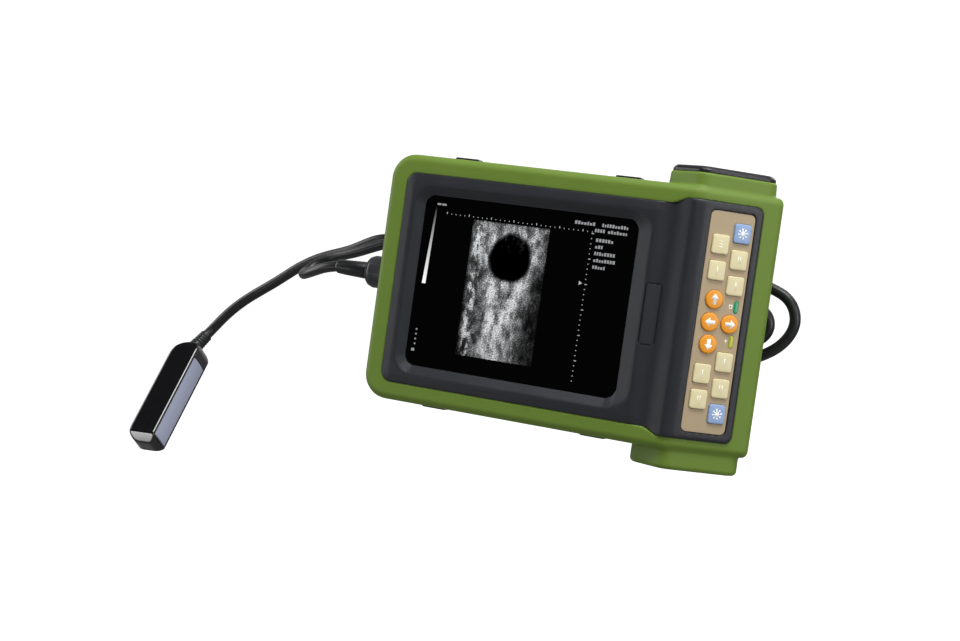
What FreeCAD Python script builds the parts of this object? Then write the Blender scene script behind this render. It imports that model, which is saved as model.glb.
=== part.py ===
import FreeCAD, Part
import Sketcher
import math
import os

# Handheld ultrasound scanner with a corded linear probe.
# Drawing axes: X to the right along the long side, Y into the case from the front face, Z up along the grip.
# Z = 0 is the middle of the case's height and Y = 0 is the plane of the bezel's crest. Every node gets the
# same shift at the end, so that the origin is the centre of the grip's flat base.

V = FreeCAD.Vector
P3 = FreeCAD.Placement
ROT = FreeCAD.Rotation

os.makedirs("parts", exist_ok=True)
doc = FreeCAD.newDocument("scanner")
sheet = doc.addObject("Spreadsheet::Sheet", "dims")
CELLS = [
    # section of the sleeved case, seen from above
    ("case_left", -121.7), ("case_front", 1.5), ("ridge_x", 71.5), ("key_tilt", 39.0),
    ("side_x", 110.5), ("side_y", 33.5), ("heel_x", 98.0), ("heel_y", 59.5),
    ("bulge_x", 58.0), ("flank_x", 36.0), ("case_back", 38.0),
    ("half_height", 74.0), ("sleeve_wall", 3.0), ("shell_wall", 2.5), ("fit_gap", 0.05),
    ("sleeve_corner", 15.0), ("edge_round", 3.0), ("heel_round", 10.0), ("back_round", 7.0),
    ("split_thin", 8.0), ("split_grip", 38.0), ("split_x", 60.0),
    # front panel
    ("panel_left", -111.2), ("panel_half", 63.0), ("key_half", 66.7), ("step_x", 61.0), ("key_len", 39.5),
    ("panel_corner", 7.0),
    ("window_left", -97.6), ("window_right", 37.6), ("window_half", 51.0), ("window_corner", 6.5),
    ("bezel_slope", 6.0), ("bezel_drop", 3.0), ("lens_front", 3.6), ("lens_thick", 1.8), ("lens_lap", 2.5),
    ("valley_drop", 2.6),
    # key panel, measured along the slope from the ridge
    ("overlay_start", 8.3), ("overlay_end", 34.7), ("overlay_half", 62.0), ("overlay_in", 0.5), ("overlay_thick", 1.1),
    ("key_wall_in", 4.1), ("key_width", 9.9), ("key_height", 10.8), ("key_round", 10.4), ("key_gap", 0.1),
    ("key_proud", 0.8), ("flange_extra", 0.6), ("flange_thick", 0.8), ("key_travel", 0.7), ("key_edge", 0.5),
    ("board_in", 6.2), ("board_thick", 1.6), ("dome_dia", 8.0), ("dome_high", 0.5),
    ("led_width", 2.7), ("led_height", 7.0),
    # ends of the grip
    ("collar_top", 82.0), ("cap_top", 85.6), ("base_bottom", 85.0), ("neck_top", 81.2), ("cap_inset", 1.2),
    ("bay_x", 76.5), ("bay_y", 42.0), ("cell_pitch", 18.6), ("cell_dia", 18.4), ("cell_length", 64.8),
    ("case_outer", 10.25), ("bay_inner", 10.5), ("bay_outer", 11.7), ("case_floor", 66.0), ("case_lid", 70.0),
    # probe connector
    ("plug_y", 20.0), ("plug_z", 0.5), ("socket_bore", 6.06), ("socket_body", 8.0), ("socket_flange", 11.0),
    ("plug_nose", 6.0), ("plug_shell", 7.0), ("ring_inner", 7.06), ("ring_outer", 10.0), ("plug_end", -141.2),
    ("boot_end", -161.0), ("boot_large", 5.2), ("boot_small", 3.8),
    ("cable_dia", 6.6), ("ball_gap", 0.16),
    # probe
    ("probe_length", 81.0), ("probe_width", 20.0), ("probe_depth", 18.5), ("window_start", 13.0), ("window_end", 75.0),
    ("probe_window", 15.0), ("probe_boot", 4.1),
]
for row, (alias, value) in enumerate(CELLS, 1):
    sheet.set("A%d" % row, alias)
    sheet.set("B%d" % row, "%g" % value)
    sheet.setAlias("B%d" % row, alias)
doc.recompute()


class Q:
    """A length together with the sheet expression that gives it."""

    def __init__(self, v, s):
        self.v = float(v)
        self.s = s

    def __add__(self, o):
        o = q(o)
        return Q(self.v + o.v, "(%s + %s)" % (self.s, o.s))

    __radd__ = __add__

    def __sub__(self, o):
        o = q(o)
        return Q(self.v - o.v, "(%s - %s)" % (self.s, o.s))

    def __rsub__(self, o):
        return q(o) - self

    def __mul__(self, o):
        o = q(o)
        return Q(self.v * o.v, "(%s * %s)" % (self.s, o.s))

    __rmul__ = __mul__

    def __truediv__(self, o):
        o = q(o)
        return Q(self.v / o.v, "(%s / %s)" % (self.s, o.s))

    def __neg__(self):
        return Q(-self.v, "(0 - %s)" % self.s)


def q(x):
    if isinstance(x, Q):
        return x
    return Q(x, "(%.6f)" % x)


def D(alias):
    return Q(float(sheet.get(alias)), "dims." + alias)


def bound(x):
    return isinstance(x, Q) and "dims." in x.s


TILT = float(sheet.get("key_tilt"))
CT, ST = math.cos(math.radians(TILT)), math.sin(math.radians(TILT))


def on_slope(s, y):
    """Point s along the key slope from the ridge and y into the case."""
    s, y = q(s), q(y)
    return (D("ridge_x") + s * CT - y * ST, s * ST + y * CT)


def mitre(poly, w):
    """The polygon moved inwards by w; corners are anticlockwise."""
    n = len(poly)
    out = []
    w = q(w)
    for i in range(n):
        ax, ay = poly[i - 1][0].v, poly[i - 1][1].v
        bx, by = poly[i][0].v, poly[i][1].v
        cx, cy = poly[(i + 1) % n][0].v, poly[(i + 1) % n][1].v
        l1, l2 = math.hypot(bx - ax, by - ay), math.hypot(cx - bx, cy - by)
        n1 = (-(by - ay) / l1, (bx - ax) / l1)
        n2 = (-(cy - by) / l2, (cx - bx) / l2)
        k = 1.0 + n1[0] * n2[0] + n1[1] * n2[1]
        mx, my = (n1[0] + n2[0]) / k, (n1[1] + n2[1]) / k
        out.append((poly[i][0] + w * mx, poly[i][1] + w * my))
    return out


def along(p, r, y):
    """Point of the line p-r at height y."""
    y = q(y)
    return (p[0] + (r[0] - p[0]) * ((y - p[1]) / (r[1] - p[1])), y)


# ---------------------------------------------------------------- helpers for bodies
BROKEN = []


def new_body(name):
    b = doc.addObject("PartDesign::Body", name)
    b.Label = name
    return b


def origin_plane(b, role):
    for f in b.Origin.OriginFeatures:
        if f.Role == role:
            return f
    raise RuntimeError(role)


def attach(b, sk, role, off, slope):
    sk.AttachmentSupport = (origin_plane(b, role), [""])
    sk.MapMode = "FlatFace"
    off = q(off)
    if slope:
        base = V(float(sheet.get("ridge_x")), 0, 0) + ROT(V(0, 1, 0), TILT).multVec(V(0, 0, off.v))
        sk.AttachmentOffset = P3(base, ROT(V(0, 1, 0), TILT))
        sk.setExpression("AttachmentOffset.Base.x", "dims.ridge_x + %.6f * %s" % (ST, off.s))
        sk.setExpression("AttachmentOffset.Base.z", "%.6f * %s" % (CT, off.s))
    else:
        sk.AttachmentOffset = P3(V(0, 0, off.v), ROT())
        if bound(off):
            sk.setExpression("AttachmentOffset.Base.z", off.s)


def poly_sketch(b, role, loops, off=0.0, slope=False):
    """Closed polygons whose corners are held by the sheet."""
    sk = b.newObject("Sketcher::SketchObject", b.Name + "_sketch")
    attach(b, sk, role, off, slope)
    g = 0
    for pts in loops:
        n = len(pts)
        pts = [(q(x), q(y)) for x, y in pts]
        for i in range(n):
            a, c = pts[i], pts[(i + 1) % n]
            sk.addGeometry(Part.LineSegment(V(a[0].v, a[1].v, 0), V(c[0].v, c[1].v, 0)), False)
        for i in range(n):
            sk.addConstraint(Sketcher.Constraint("Coincident", g + i, 2, g + (i + 1) % n, 1))
        for i, (x, y) in enumerate(pts):
            c = sk.addConstraint(Sketcher.Constraint("DistanceX", -1, 1, g + i, 1, x.v))
            if bound(x):
                sk.setExpression("Constraints[%d]" % c, x.s)
            c = sk.addConstraint(Sketcher.Constraint("DistanceY", -1, 1, g + i, 1, y.v))
            if bound(y):
                sk.setExpression("Constraints[%d]" % c, y.s)
        g += n
    return sk


def rect(x0, x1, y0, y1):
    return [(x0, y0), (x1, y0), (x1, y1), (x0, y1)]


def round_sketch(b, role, circles, off=0.0, slope=False):
    sk = b.newObject("Sketcher::SketchObject", b.Name + "_sketch")
    attach(b, sk, role, off, slope)
    for i, (x, y, r) in enumerate(circles):
        x, y, r = q(x), q(y), q(r)
        sk.addGeometry(Part.Circle(V(x.v, y.v, 0), V(0, 0, 1), r.v), False)
        c = sk.addConstraint(Sketcher.Constraint("Radius", i, r.v))
        if bound(r):
            sk.setExpression("Constraints[%d]" % c, r.s)
        for kind, val in (("DistanceX", x), ("DistanceY", y)):
            c = sk.addConstraint(Sketcher.Constraint(kind, -1, 1, i, 3, val.v))
            if bound(val):
                sk.setExpression("Constraints[%d]" % c, val.s)
    return sk


def feature(b, kind, sk, length, sym=False, rev=False):
    length = q(length)
    f = b.newObject("PartDesign::" + kind, b.Name + "_" + kind.lower())
    f.Profile = sk
    f.Type = "Length"
    f.Length = length.v
    if bound(length):
        f.setExpression("Length", length.s)
    if sym:
        f.SideType = "Symmetric"
    if rev:
        f.Reversed = True
    before = b.Tip.Shape.Volume if b.Tip is not None and not b.Tip.Shape.isNull() and b.Tip != f else 0.0
    doc.recompute()
    if "Invalid" in f.State or "Error" in f.State or f.Shape.isNull():
        BROKEN.append((f.Name, "failed"))
    return f


def pad(b, sk, length, sym=False, rev=False):
    return feature(b, "Pad", sk, length, sym, rev)


def pocket(b, sk, length, sym=False, rev=False):
    doc.recompute()
    before = b.Shape.Volume
    f = feature(b, "Pocket", sk, length, sym, rev)
    if abs(f.Shape.Volume - before) < 1e-3:
        BROKEN.append((f.Name, "cuts nothing"))
    return f


def dress(b, kind, fn, size, size2=None, flip=False):
    """Fillet or chamfer on the edges fn accepts."""
    base = b.Tip
    names = ["Edge%d" % (i + 1) for i, e in enumerate(base.Shape.Edges) if fn(e)]
    if not names:
        BROKEN.append((b.Name, "no edges for %s after %s" % (kind, base.Name)))
        return None
    size = q(size)
    f = b.newObject("PartDesign::" + kind, b.Name + "_" + kind.lower())
    f.Base = (base, names)
    key = "Radius" if kind == "Fillet" else "Size"
    setattr(f, key, size.v)
    if bound(size):
        f.setExpression(key, size.s)
    if size2 is not None:
        f.ChamferType = "Two distances"
        size2 = q(size2)
        f.Size2 = size2.v
        if bound(size2):
            f.setExpression("Size2", size2.s)
        f.FlipDirection = flip
    doc.recompute()
    if "Invalid" in f.State or "Error" in f.State or f.Shape.isNull() or not f.Shape.isValid():
        print("dropped", b.Name, kind, len(names), size.v)
        b.removeObject(f)
        doc.removeObject(f.Name)
        b.Tip = base
        doc.recompute()
        return None
    return f


def line_edge(axis, tests=None):
    """Accepts straight edges along an axis whose middle meets tests, a list of (axis, value)."""
    k = "xyz".index(axis)

    def fn(e):
        if len(e.Vertexes) != 2:
            return False
        d = e.Vertexes[1].Point - e.Vertexes[0].Point
        if d.Length < 1e-6 or abs(d[k]) < d.Length * 0.9999:
            return False
        m = (e.Vertexes[1].Point + e.Vertexes[0].Point) * 0.5
        for ax, val in tests or []:
            c = m["xyz".index(ax[-1])]
            if ax.startswith("abs_"):
                c = abs(c)
            if abs(c - val) > 0.02:
                return False
        return True

    return fn


def any_of(*fns):
    return lambda e: any(f(e) for f in fns)


NODES = {}


def done(name, obj, place=None):
    obj.Label = name
    print(name, flush=True)
    doc.recompute()
    NODES[name] = (obj, place or P3())


def box_node(name, x0, x1, y0, y1, z0, z1):
    o = doc.addObject("Part::Box", name)
    sizes = (q(x1) - q(x0), q(y1) - q(y0), q(z1) - q(z0))
    for key, val in zip(("Length", "Width", "Height"), sizes):
        setattr(o, key, val.v)
        if bound(val):
            o.setExpression(key, val.s)
    done(name, o, P3(V(q(x0).v, q(y0).v, q(z0).v), ROT()))
    return o


def slab_body(name, role, pts, a, c, r=0.0, edge_axis=None):
    """Prism between two levels a < c on an origin plane, with its side edges rounded."""
    b = new_body(name)
    a, c = q(a), q(c)
    off = c if role != "XZ_Plane" else -c
    if role == "XZ_Plane":
        pad(b, poly_sketch(b, role, [pts], -c), c - a)
    else:
        pad(b, poly_sketch(b, role, [pts], a), c - a)
    if q(r).v > 0:
        axis = {"XY_Plane": "z", "XZ_Plane": "y", "YZ_Plane": "x"}[role]
        dress(b, "Fillet", line_edge(axis), r)
    return b


def cut_y(b, pts, a, c, slope=False):
    """Pocket between depths a and c, from a sketch in the X-Z plane."""
    a, c = q(a), q(c)
    return pocket(b, poly_sketch(b, "XZ_Plane", [pts], -a, slope), c - a)


def cut_z(b, pts, a, c):
    a, c = q(a), q(c)
    return pocket(b, poly_sketch(b, "XY_Plane", [pts], c), c - a)


def stadium_sketch(b, half, r, z):
    """Outline around two cells side by side, at height z."""
    sk = b.newObject("Sketcher::SketchObject", b.Name + "_sketch")
    attach(b, sk, "XY_Plane", z, False)
    cx, cy, half, r = D("bay_x"), D("bay_y"), q(half), q(r)
    x0, x1, y0, y1 = cx - half, cx + half, cy - r, cy + r
    sk.addGeometry(Part.LineSegment(V(x0.v, y0.v, 0), V(x1.v, y0.v, 0)), False)
    sk.addGeometry(Part.ArcOfCircle(Part.Circle(V(x1.v, cy.v, 0), V(0, 0, 1), r.v), -math.pi / 2, math.pi / 2), False)
    sk.addGeometry(Part.LineSegment(V(x1.v, y1.v, 0), V(x0.v, y1.v, 0)), False)
    sk.addGeometry(Part.ArcOfCircle(Part.Circle(V(x0.v, cy.v, 0), V(0, 0, 1), r.v), math.pi / 2, 3 * math.pi / 2), False)
    for g in range(4):
        sk.addConstraint(Sketcher.Constraint("Coincident", g, 2, (g + 1) % 4, 1))
    for g, pos, kind, val in ((0, 1, "DistanceX", x0), (0, 1, "DistanceY", y0), (0, 2, "DistanceX", x1), (0, 2, "DistanceY", y0),
                              (2, 1, "DistanceX", x1), (2, 1, "DistanceY", y1), (2, 2, "DistanceX", x0), (2, 2, "DistanceY", y1),
                              (1, 3, "DistanceX", x1), (3, 3, "DistanceX", x0)):
        c = sk.addConstraint(Sketcher.Constraint(kind, -1, 1, g, pos, val.v))
        if bound(val):
            sk.setExpression("Constraints[%d]" % c, val.s)
    return sk


def stadium_pad(b, r, z0, z1):
    z0, z1 = q(z0), q(z1)
    return pad(b, stadium_sketch(b, D("cell_pitch") / 2.0, r, z0), z1 - z0)


def stadium_cut(b, r, z0, z1):
    z0, z1 = q(z0), q(z1)
    return pocket(b, stadium_sketch(b, D("cell_pitch") / 2.0, r, z1), z1 - z0)


# ---------------------------------------------------------------- section polygons
wall, shell = D("sleeve_wall"), D("shell_wall")
front = D("case_front")


def slope_at(y0, into):
    """Where the key slope moved in by `into` crosses depth y0."""
    x1, y1 = on_slope(0.0, into)
    x2, y2 = on_slope(10.0, into)
    return along((x1, y1), (x2, y2), y0)


P = [
    (D("case_left"), front),
    slope_at(front, front),
    (D("side_x"), D("side_y")),
    (D("heel_x"), D("heel_y")),
    (D("bulge_x"), D("heel_y")),
    (D("flank_x"), D("case_back")),
    (D("case_left"), D("case_back")),
]
Hs = mitre(P, wall)  # outside of the housings
Hc = mitre(P, wall - D("fit_gap"))  # inside of the sleeve
Cv = mitre(P, wall + shell)  # inside of the housings
HH = D("half_height")
ZH = HH - wall
ZC = HH - wall - shell

# footprint of the raised ends of the grip
F = [
    (q(46.0), q(15.0)),
    (q(70.3), q(3.6)),
    on_slope(47.0, 3.5),
    (q(96.3), q(57.3)),
    (q(59.0), q(57.3)),
    (q(46.0), q(44.6)),
]
Fn = mitre(F, wall)
Fc = mitre(F, wall - D("fit_gap"))

BX, BY = D("bay_x"), D("bay_y")
CP = D("cell_pitch") / 2.0

SCREWS = [(-101.0, 57.5), (-36.0, 57.5), (28.0, 57.5), (-101.0, -57.5), (-36.0, -57.5), (28.0, -57.5)]
SPACERS = [(-88.0, 44.0), (24.0, 44.0), (-88.0, -44.0), (24.0, -44.0)]

KEYS = [
    ("key_freeze", 28.0, 50.8, "square"), ("key_depth", 28.0, 36.0, "square"), ("key_gain_up", 28.0, 21.5, "square"),
    ("key_right", 28.0, 0.0, "round"), ("key_gain_down", 28.0, -21.4, "square"), ("key_store", 28.0, -36.2, "square"),
    ("key_power", 28.0, -50.6, "square"), ("key_menu", 15.9, 43.5, "square"), ("key_measure", 15.9, 28.8, "square"),
    ("key_up", 17.0, 12.7, "round"), ("key_left", 16.2, 0.0, "round"), ("key_down", 17.0, -12.4, "round"),
    ("key_mode", 15.9, -29.0, "square"), ("key_recall", 15.9, -43.4, "square"),
]
LEDS = [(30.6, 9.9), (30.6, -9.6)]
KW, KH, KR = D("key_width") / 2.0, D("key_height") / 2.0, D("key_round") / 2.0
GAP = D("key_gap")
RIDGE = P3(V(float(sheet.get("ridge_x")), 0, 0), ROT(V(0, 0, 1), TILT))


def key_holes(b, off, depth, extra):
    """One pocket with an opening for every key and light, on the key slope."""
    squares, rounds = [], []
    for n, s, z, kind in KEYS:
        if kind == "square":
            squares.append(rect(s - KW - extra, s + KW + extra, z - KH - extra, z + KH + extra))
        else:
            rounds.append((s, z, KR + extra))
    lw, lh = D("led_width") / 2.0, D("led_height") / 2.0
    for s, z in LEDS:
        squares.append(rect(s - lw - 0.05, s + lw + 0.05, z - lh - 0.05, z + lh + 0.05))
    f1 = pocket(b, poly_sketch(b, "XZ_Plane", squares, off, True), depth)
    f2 = pocket(b, round_sketch(b, "XZ_Plane", rounds, off, True), depth)
    return f1, f2


# ---------------------------------------------------------------- rubber sleeve
g = D("fit_gap")
b = new_body("rubber_sleeve")
pad(b, poly_sketch(b, "XY_Plane", [P]), HH * 2.0, sym=True)
# hollow for the housings
pocket(b, poly_sketch(b, "XY_Plane", [Hc]), (ZH + g) * 2.0, sym=True)
dress(b, "Fillet", line_edge("y", [("x", Hc[0][0].v), ("abs_z", (ZH + g).v)]), D("sleeve_corner") - 3.0)
dress(b, "Fillet", any_of(line_edge("z", [("x", Hc[3][0].v), ("y", Hc[3][1].v)]), line_edge("z", [("x", Hc[4][0].v), ("y", Hc[4][1].v)])), D("heel_round") - 3.0)
# rounded outside
dress(b, "Fillet", line_edge("y", [("x", P[0][0].v), ("abs_z", HH.v)]), D("sleeve_corner"))
dress(b, "Fillet", any_of(line_edge("z", [("x", P[3][0].v), ("y", P[3][1].v)]), line_edge("z", [("x", P[4][0].v), ("y", P[4][1].v)])), D("heel_round"))
dress(b, "Fillet", line_edge("z", [("x", P[2][0].v), ("y", P[2][1].v)]), 4.0)


def front_rim(e):
    bb = e.BoundBox
    return bb.YMax < P[0][1].v + 0.01 and not (bb.XMin > 60 and bb.ZLength > 20)


def back_rim(e):
    bb = e.BoundBox
    return bb.YMin > P[6][1].v - 0.01 and bb.XMax < P[5][0].v + 0.5 and bb.YMax < P[6][1].v + 0.01


dress(b, "Fillet", lambda e: back_rim(e) and not (e.BoundBox.XMin > 30 and e.BoundBox.ZLength > 20), D("back_round"))
dress(b, "Fillet", front_rim, D("edge_round"))
# raised ends of the grip
base_h = D("base_bottom")
pad(b, poly_sketch(b, "XY_Plane", [F], ZH + g), D("collar_top") - ZH - g)
pad(b, poly_sketch(b, "XY_Plane", [F], -base_h), base_h - ZH - g)


def foot_edge(e):
    f = line_edge("z")(e)
    m = e.BoundBox
    if not f or abs(m.ZMin) < 72 and abs(m.ZMax) < 72:
        return False
    for x, y in F:
        if abs(m.XMin - x.v) < 0.05 and abs(m.YMin - y.v) < 0.05:
            return m.ZLength < 40
    return False


dress(b, "Fillet", foot_edge, 4.0)
dress(b, "Fillet", lambda e: e.BoundBox.ZMax < -base_h.v + 0.01, 2.5)
dress(b, "Fillet", lambda e: e.BoundBox.ZMin > D("collar_top").v - 0.01, 1.2)
# opening for the front panel
KE = D("key_len") + g
pocket(b, poly_sketch(b, "XY_Plane", [[(D("panel_left") - g, -1.0), (D("ridge_x"), -1.0), on_slope(KE, -1.0), on_slope(KE, 4.7), (69.0, 4.7), (D("panel_left") - g, 4.7)]]), (D("panel_half") + g) * 2.0, sym=True)
dress(b, "Fillet", line_edge("y", [("x", (D("panel_left") - g).v), ("abs_z", (D("panel_half") + g).v)]), D("panel_corner"))
pocket(b, poly_sketch(b, "XY_Plane", [[(D("step_x") - g, -1.0), (D("ridge_x"), -1.0), on_slope(KE, -1.0), on_slope(KE, 4.7), (69.0, 4.7), (D("step_x") - g, 4.7)]]), (D("key_half") + g) * 2.0, sym=True)
# opening in the back
cut_y(b, rect(-108.0, 30.0, -62.0, 62.0), D("case_back") - 4.0, D("case_back") + 1.0)
dress(b, "Fillet", line_edge("y", [("x", -108.0), ("abs_z", 62.0)]), 9.0)
# hollows of the two raised ends
cut_z(b, Fc, HH - 4.0, D("collar_top") + 1.0)
cut_z(b, Fc, -D("neck_top") - g, -HH + 4.0)
# hole for the socket nut
pocket(b, round_sketch(b, "YZ_Plane", [(D("plug_y"), D("plug_z"), 11.0)], D("case_left") + 5.0), 6.0)
# slots and dips for the strap bars
BARS = [(-89.0, -73.0), (14.0, 30.0)]
for x0, x1 in BARS:
    for zs in (1.0, -1.0):
        for lo, hi in ((x0 - 0.05, x0 + 2.25), (x1 - 2.25, x1 + 0.05)):
            zz = (70.5, 75.0) if zs > 0 else (-75.0, -70.5)
            cut_z(b, rect(lo, hi, 16.95, 23.05), zz[0], zz[1])
        zz = (72.4, 75.0) if zs > 0 else (-75.0, -72.4)
        cut_z(b, rect(x0 + 2.2, x1 - 2.2, 14.0, 26.0), zz[0], zz[1])
done("rubber_sleeve", b)

# ---------------------------------------------------------------- front housing
b = new_body("front_housing")
split_pt = along(Hs[2], Hs[3], D("split_grip"))
outline = [Hs[0], Hs[1], Hs[2], split_pt, (D("split_x"), D("split_grip")), (D("split_x"), D("split_thin")), (Hs[0][0], D("split_thin"))]
pad(b, poly_sketch(b, "XY_Plane", [outline]), ZH * 2.0, sym=True)
dress(b, "Fillet", line_edge("y", [("x", Hs[0][0].v), ("abs_z", ZH.v)]), D("sleeve_corner") - 3.0)
PL, PH = D("panel_left"), D("panel_half")
pad(b, poly_sketch(b, "XY_Plane", [[(PL, 0.0), (D("ridge_x"), 0.0), on_slope(D("key_len"), 0.0), on_slope(D("key_len"), 4.8), (69.0, 4.8), (PL, 4.8)]]), PH * 2.0, sym=True)
dress(b, "Fillet", line_edge("y", [("x", PL.v), ("abs_z", PH.v)]), D("panel_corner"))


def crest_outer(e):
    bb = e.BoundBox
    return abs(bb.YMin) < 0.01 and abs(bb.YMax) < 0.01 and not (bb.XMin > 60)


dress(b, "Chamfer", crest_outer, 1.2, 5.5)
pad(b, poly_sketch(b, "XY_Plane", [[(D("step_x"), 0.0), (D("ridge_x"), 0.0), on_slope(D("key_len"), 0.0), on_slope(D("key_len"), 4.8), (69.0, 4.8), (D("step_x"), 4.8)]]), D("key_half") * 2.0, sym=True)
# hollow
hollow = [Cv[0], Cv[1], Cv[2], along(Cv[2], Cv[3], D("split_grip") + 1.0), (D("split_x") - 1.0, D("split_grip") + 1.0), (D("split_x") - 1.0, D("split_thin") + 1.0), (Cv[0][0], D("split_thin") + 1.0)]
pocket(b, poly_sketch(b, "XY_Plane", [hollow]), ZC * 2.0, sym=True)
# window with its sloped frame, and the seat of the window lens
WL, WR, WH = D("window_left"), D("window_right"), D("window_half")
cut_y(b, rect(WL, WR, -WH, WH), -1.0, 9.0)
dress(b, "Fillet", lambda e: line_edge("y")(e) and abs(abs(e.BoundBox.ZMin) - WH.v) < 0.02, D("window_corner"))


def crest_inner(e):
    bb = e.BoundBox
    return abs(bb.YMin) < 0.01 and abs(bb.YMax) < 0.01 and bb.XMin > WL.v - 0.1 and bb.XMax < WR.v + 0.1


dress(b, "Chamfer", crest_inner, D("bezel_drop"), D("bezel_slope"))
LP = D("lens_lap")
cut_y(b, rect(WL - LP, WR + LP, -WH - LP, WH + LP), D("lens_front"), 9.0)
# valley between window and keys, and the seat of the label plate
vd = D("valley_drop")
pocket(b, poly_sketch(b, "XY_Plane", [[(45.0, -1.0), (47.0, 0.0), (55.0, vd), (60.0, vd), (70.2, 0.0), (71.0, -1.0)]]), D("key_half") * 2.0 + 1.0, sym=True)
tx, ty = 7.6, 2.47
tl = math.hypot(tx, ty)
tx, ty = tx / tl, ty / tl


def plate_pt(u, w):
    return (47.0 + tx * u - ty * w, 0.0 + ty * u + tx * w)


pocket(b, poly_sketch(b, "XY_Plane", [[plate_pt(0.9, -0.6), plate_pt(8.1, -0.6), plate_pt(8.1, 1.0), plate_pt(0.9, 1.0)]]), 34.2, sym=True)
# key panel: seat of the overlay, relief behind the wall, openings
cut_y(b, rect(D("overlay_start") - 0.3, D("overlay_end") + 0.3, -D("overlay_half") - 0.3, D("overlay_half") + 0.3), 0.0, D("overlay_in") + D("overlay_thick"), True)
cut_y(b, rect(6.4, 36.4, -63.2, 63.2), D("key_wall_in"), 9.5, True)
key_holes(b, 0.0, 6.0, GAP)
# screw bosses
for x, z in SCREWS:
    pad(b, round_sketch(b, "XZ_Plane", [(x, z, 3.5)], -32.45), 26.0)
    pocket(b, round_sketch(b, "XZ_Plane", [(x, z, 1.25)], -16.0), 17.0)
# passage of the battery bay through the top wall
stadium_cut(b, 11.8, ZC - 1.0, ZH + 1.0)
done("front_housing", b)

# ---------------------------------------------------------------- rear housing
b = new_body("rear_housing")
rear = [(Hs[0][0], D("split_thin")), (D("split_x"), D("split_thin")), (D("split_x"), D("split_grip")), split_pt, Hs[3], Hs[4], Hs[5], Hs[6]]
pad(b, poly_sketch(b, "XY_Plane", [rear]), ZH * 2.0, sym=True)
dress(b, "Fillet", line_edge("y", [("x", Hs[0][0].v), ("abs_z", ZH.v)]), D("sleeve_corner") - 3.0)
dress(b, "Fillet", any_of(line_edge("z", [("x", Hs[3][0].v), ("y", Hs[3][1].v)]), line_edge("z", [("x", Hs[4][0].v), ("y", Hs[4][1].v)])), D("heel_round") - 3.0)
# neck at the top and foot at the bottom, inside the sleeve's raised ends
pad(b, poly_sketch(b, "XY_Plane", [Fn], ZH), D("neck_top") - ZH)
pad(b, poly_sketch(b, "XY_Plane", [Fn], -D("neck_top")), D("neck_top") - ZH)
rear_in = [(Cv[0][0], D("split_thin") - 1.0), (D("split_x") + 0.5, D("split_thin") - 1.0), (D("split_x") + 0.5, D("split_grip") - 1.0), along(Cv[2], Cv[3], D("split_grip") - 1.0), Cv[3], Cv[4], Cv[5], Cv[6]]
pocket(b, poly_sketch(b, "XY_Plane", [rear_in]), ZC * 2.0, sym=True)
stadium_cut(b, 11.8, ZC - 1.0, ZH)
stadium_cut(b, 10.6, ZC - 1.0, D("neck_top") + 1.0)
# socket hole, screw holes
pocket(b, round_sketch(b, "YZ_Plane", [(D("plug_y"), D("plug_z"), 8.1)], Cv[0][0] + 2.0), 6.0)
pocket(b, round_sketch(b, "XZ_Plane", [(x, z, 1.7) for x, z in SCREWS], -31.0), 6.0)
pocket(b, round_sketch(b, "XZ_Plane", [(x, z, 3.2) for x, z in SCREWS], -33.85), 3.0)
# shallow grip panel in the back
cut_y(b, rect(-88.0, 8.0, -38.0, 38.0), Hs[6][1] - 0.8, Hs[6][1] + 1.0)
dress(b, "Fillet", lambda e: line_edge("y")(e) and abs(abs(e.BoundBox.ZMin) - 38.0) < 0.02 and e.BoundBox.YMin > 33, 6.0)
done("rear_housing", b)

# ---------------------------------------------------------------- window, gasket, display
b = slab_body("screen_window", "XZ_Plane", rect(WL - LP + 0.1, WR + LP - 0.1, -WH - LP + 0.1, WH + LP - 0.1), D("lens_front"), D("lens_front") + D("lens_thick"), 6.0)
done("screen_window", b)
LB = D("lens_front") + D("lens_thick")
b = slab_body("window_gasket", "XZ_Plane", rect(-95.0, 35.0, -50.2, 50.2), LB, LB + 0.6, 3.0)
cut_y(b, rect(-90.0, 30.0, -45.2, 45.2), LB - 1.0, LB + 2.0)
done("window_gasket", b)
b = slab_body("lcd_panel", "XZ_Plane", rect(-94.0, 34.0, -49.0, 49.0), LB + 0.6, LB + 4.6, 1.0)
cut_y(b, rect(-89.0, 29.0, -44.3, 44.3), LB + 0.55, LB + 0.75)
done("lcd_panel", b)
b = slab_body("lcd_bracket", "XZ_Plane", rect(-97.5, 37.5, -50.6, 50.6), LB + 4.65, LB + 5.85, 4.0)
cut_y(b, rect(-70.0, 10.0, -32.0, 32.0), LB + 4.0, LB + 7.0)
done("lcd_bracket", b)
# flat ribbon from the display's lower edge to the main board
b = new_body("display_ribbon")
pad(b, poly_sketch(b, "YZ_Plane", [[(7.0, -49.05), (7.0, -52.6), (17.2, -52.6), (17.2, -46.0), (17.9, -46.0), (17.9, -52.9), (6.7, -52.9), (6.7, -49.05)]], -44.0), 26.0)
done("display_ribbon", b)

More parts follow.
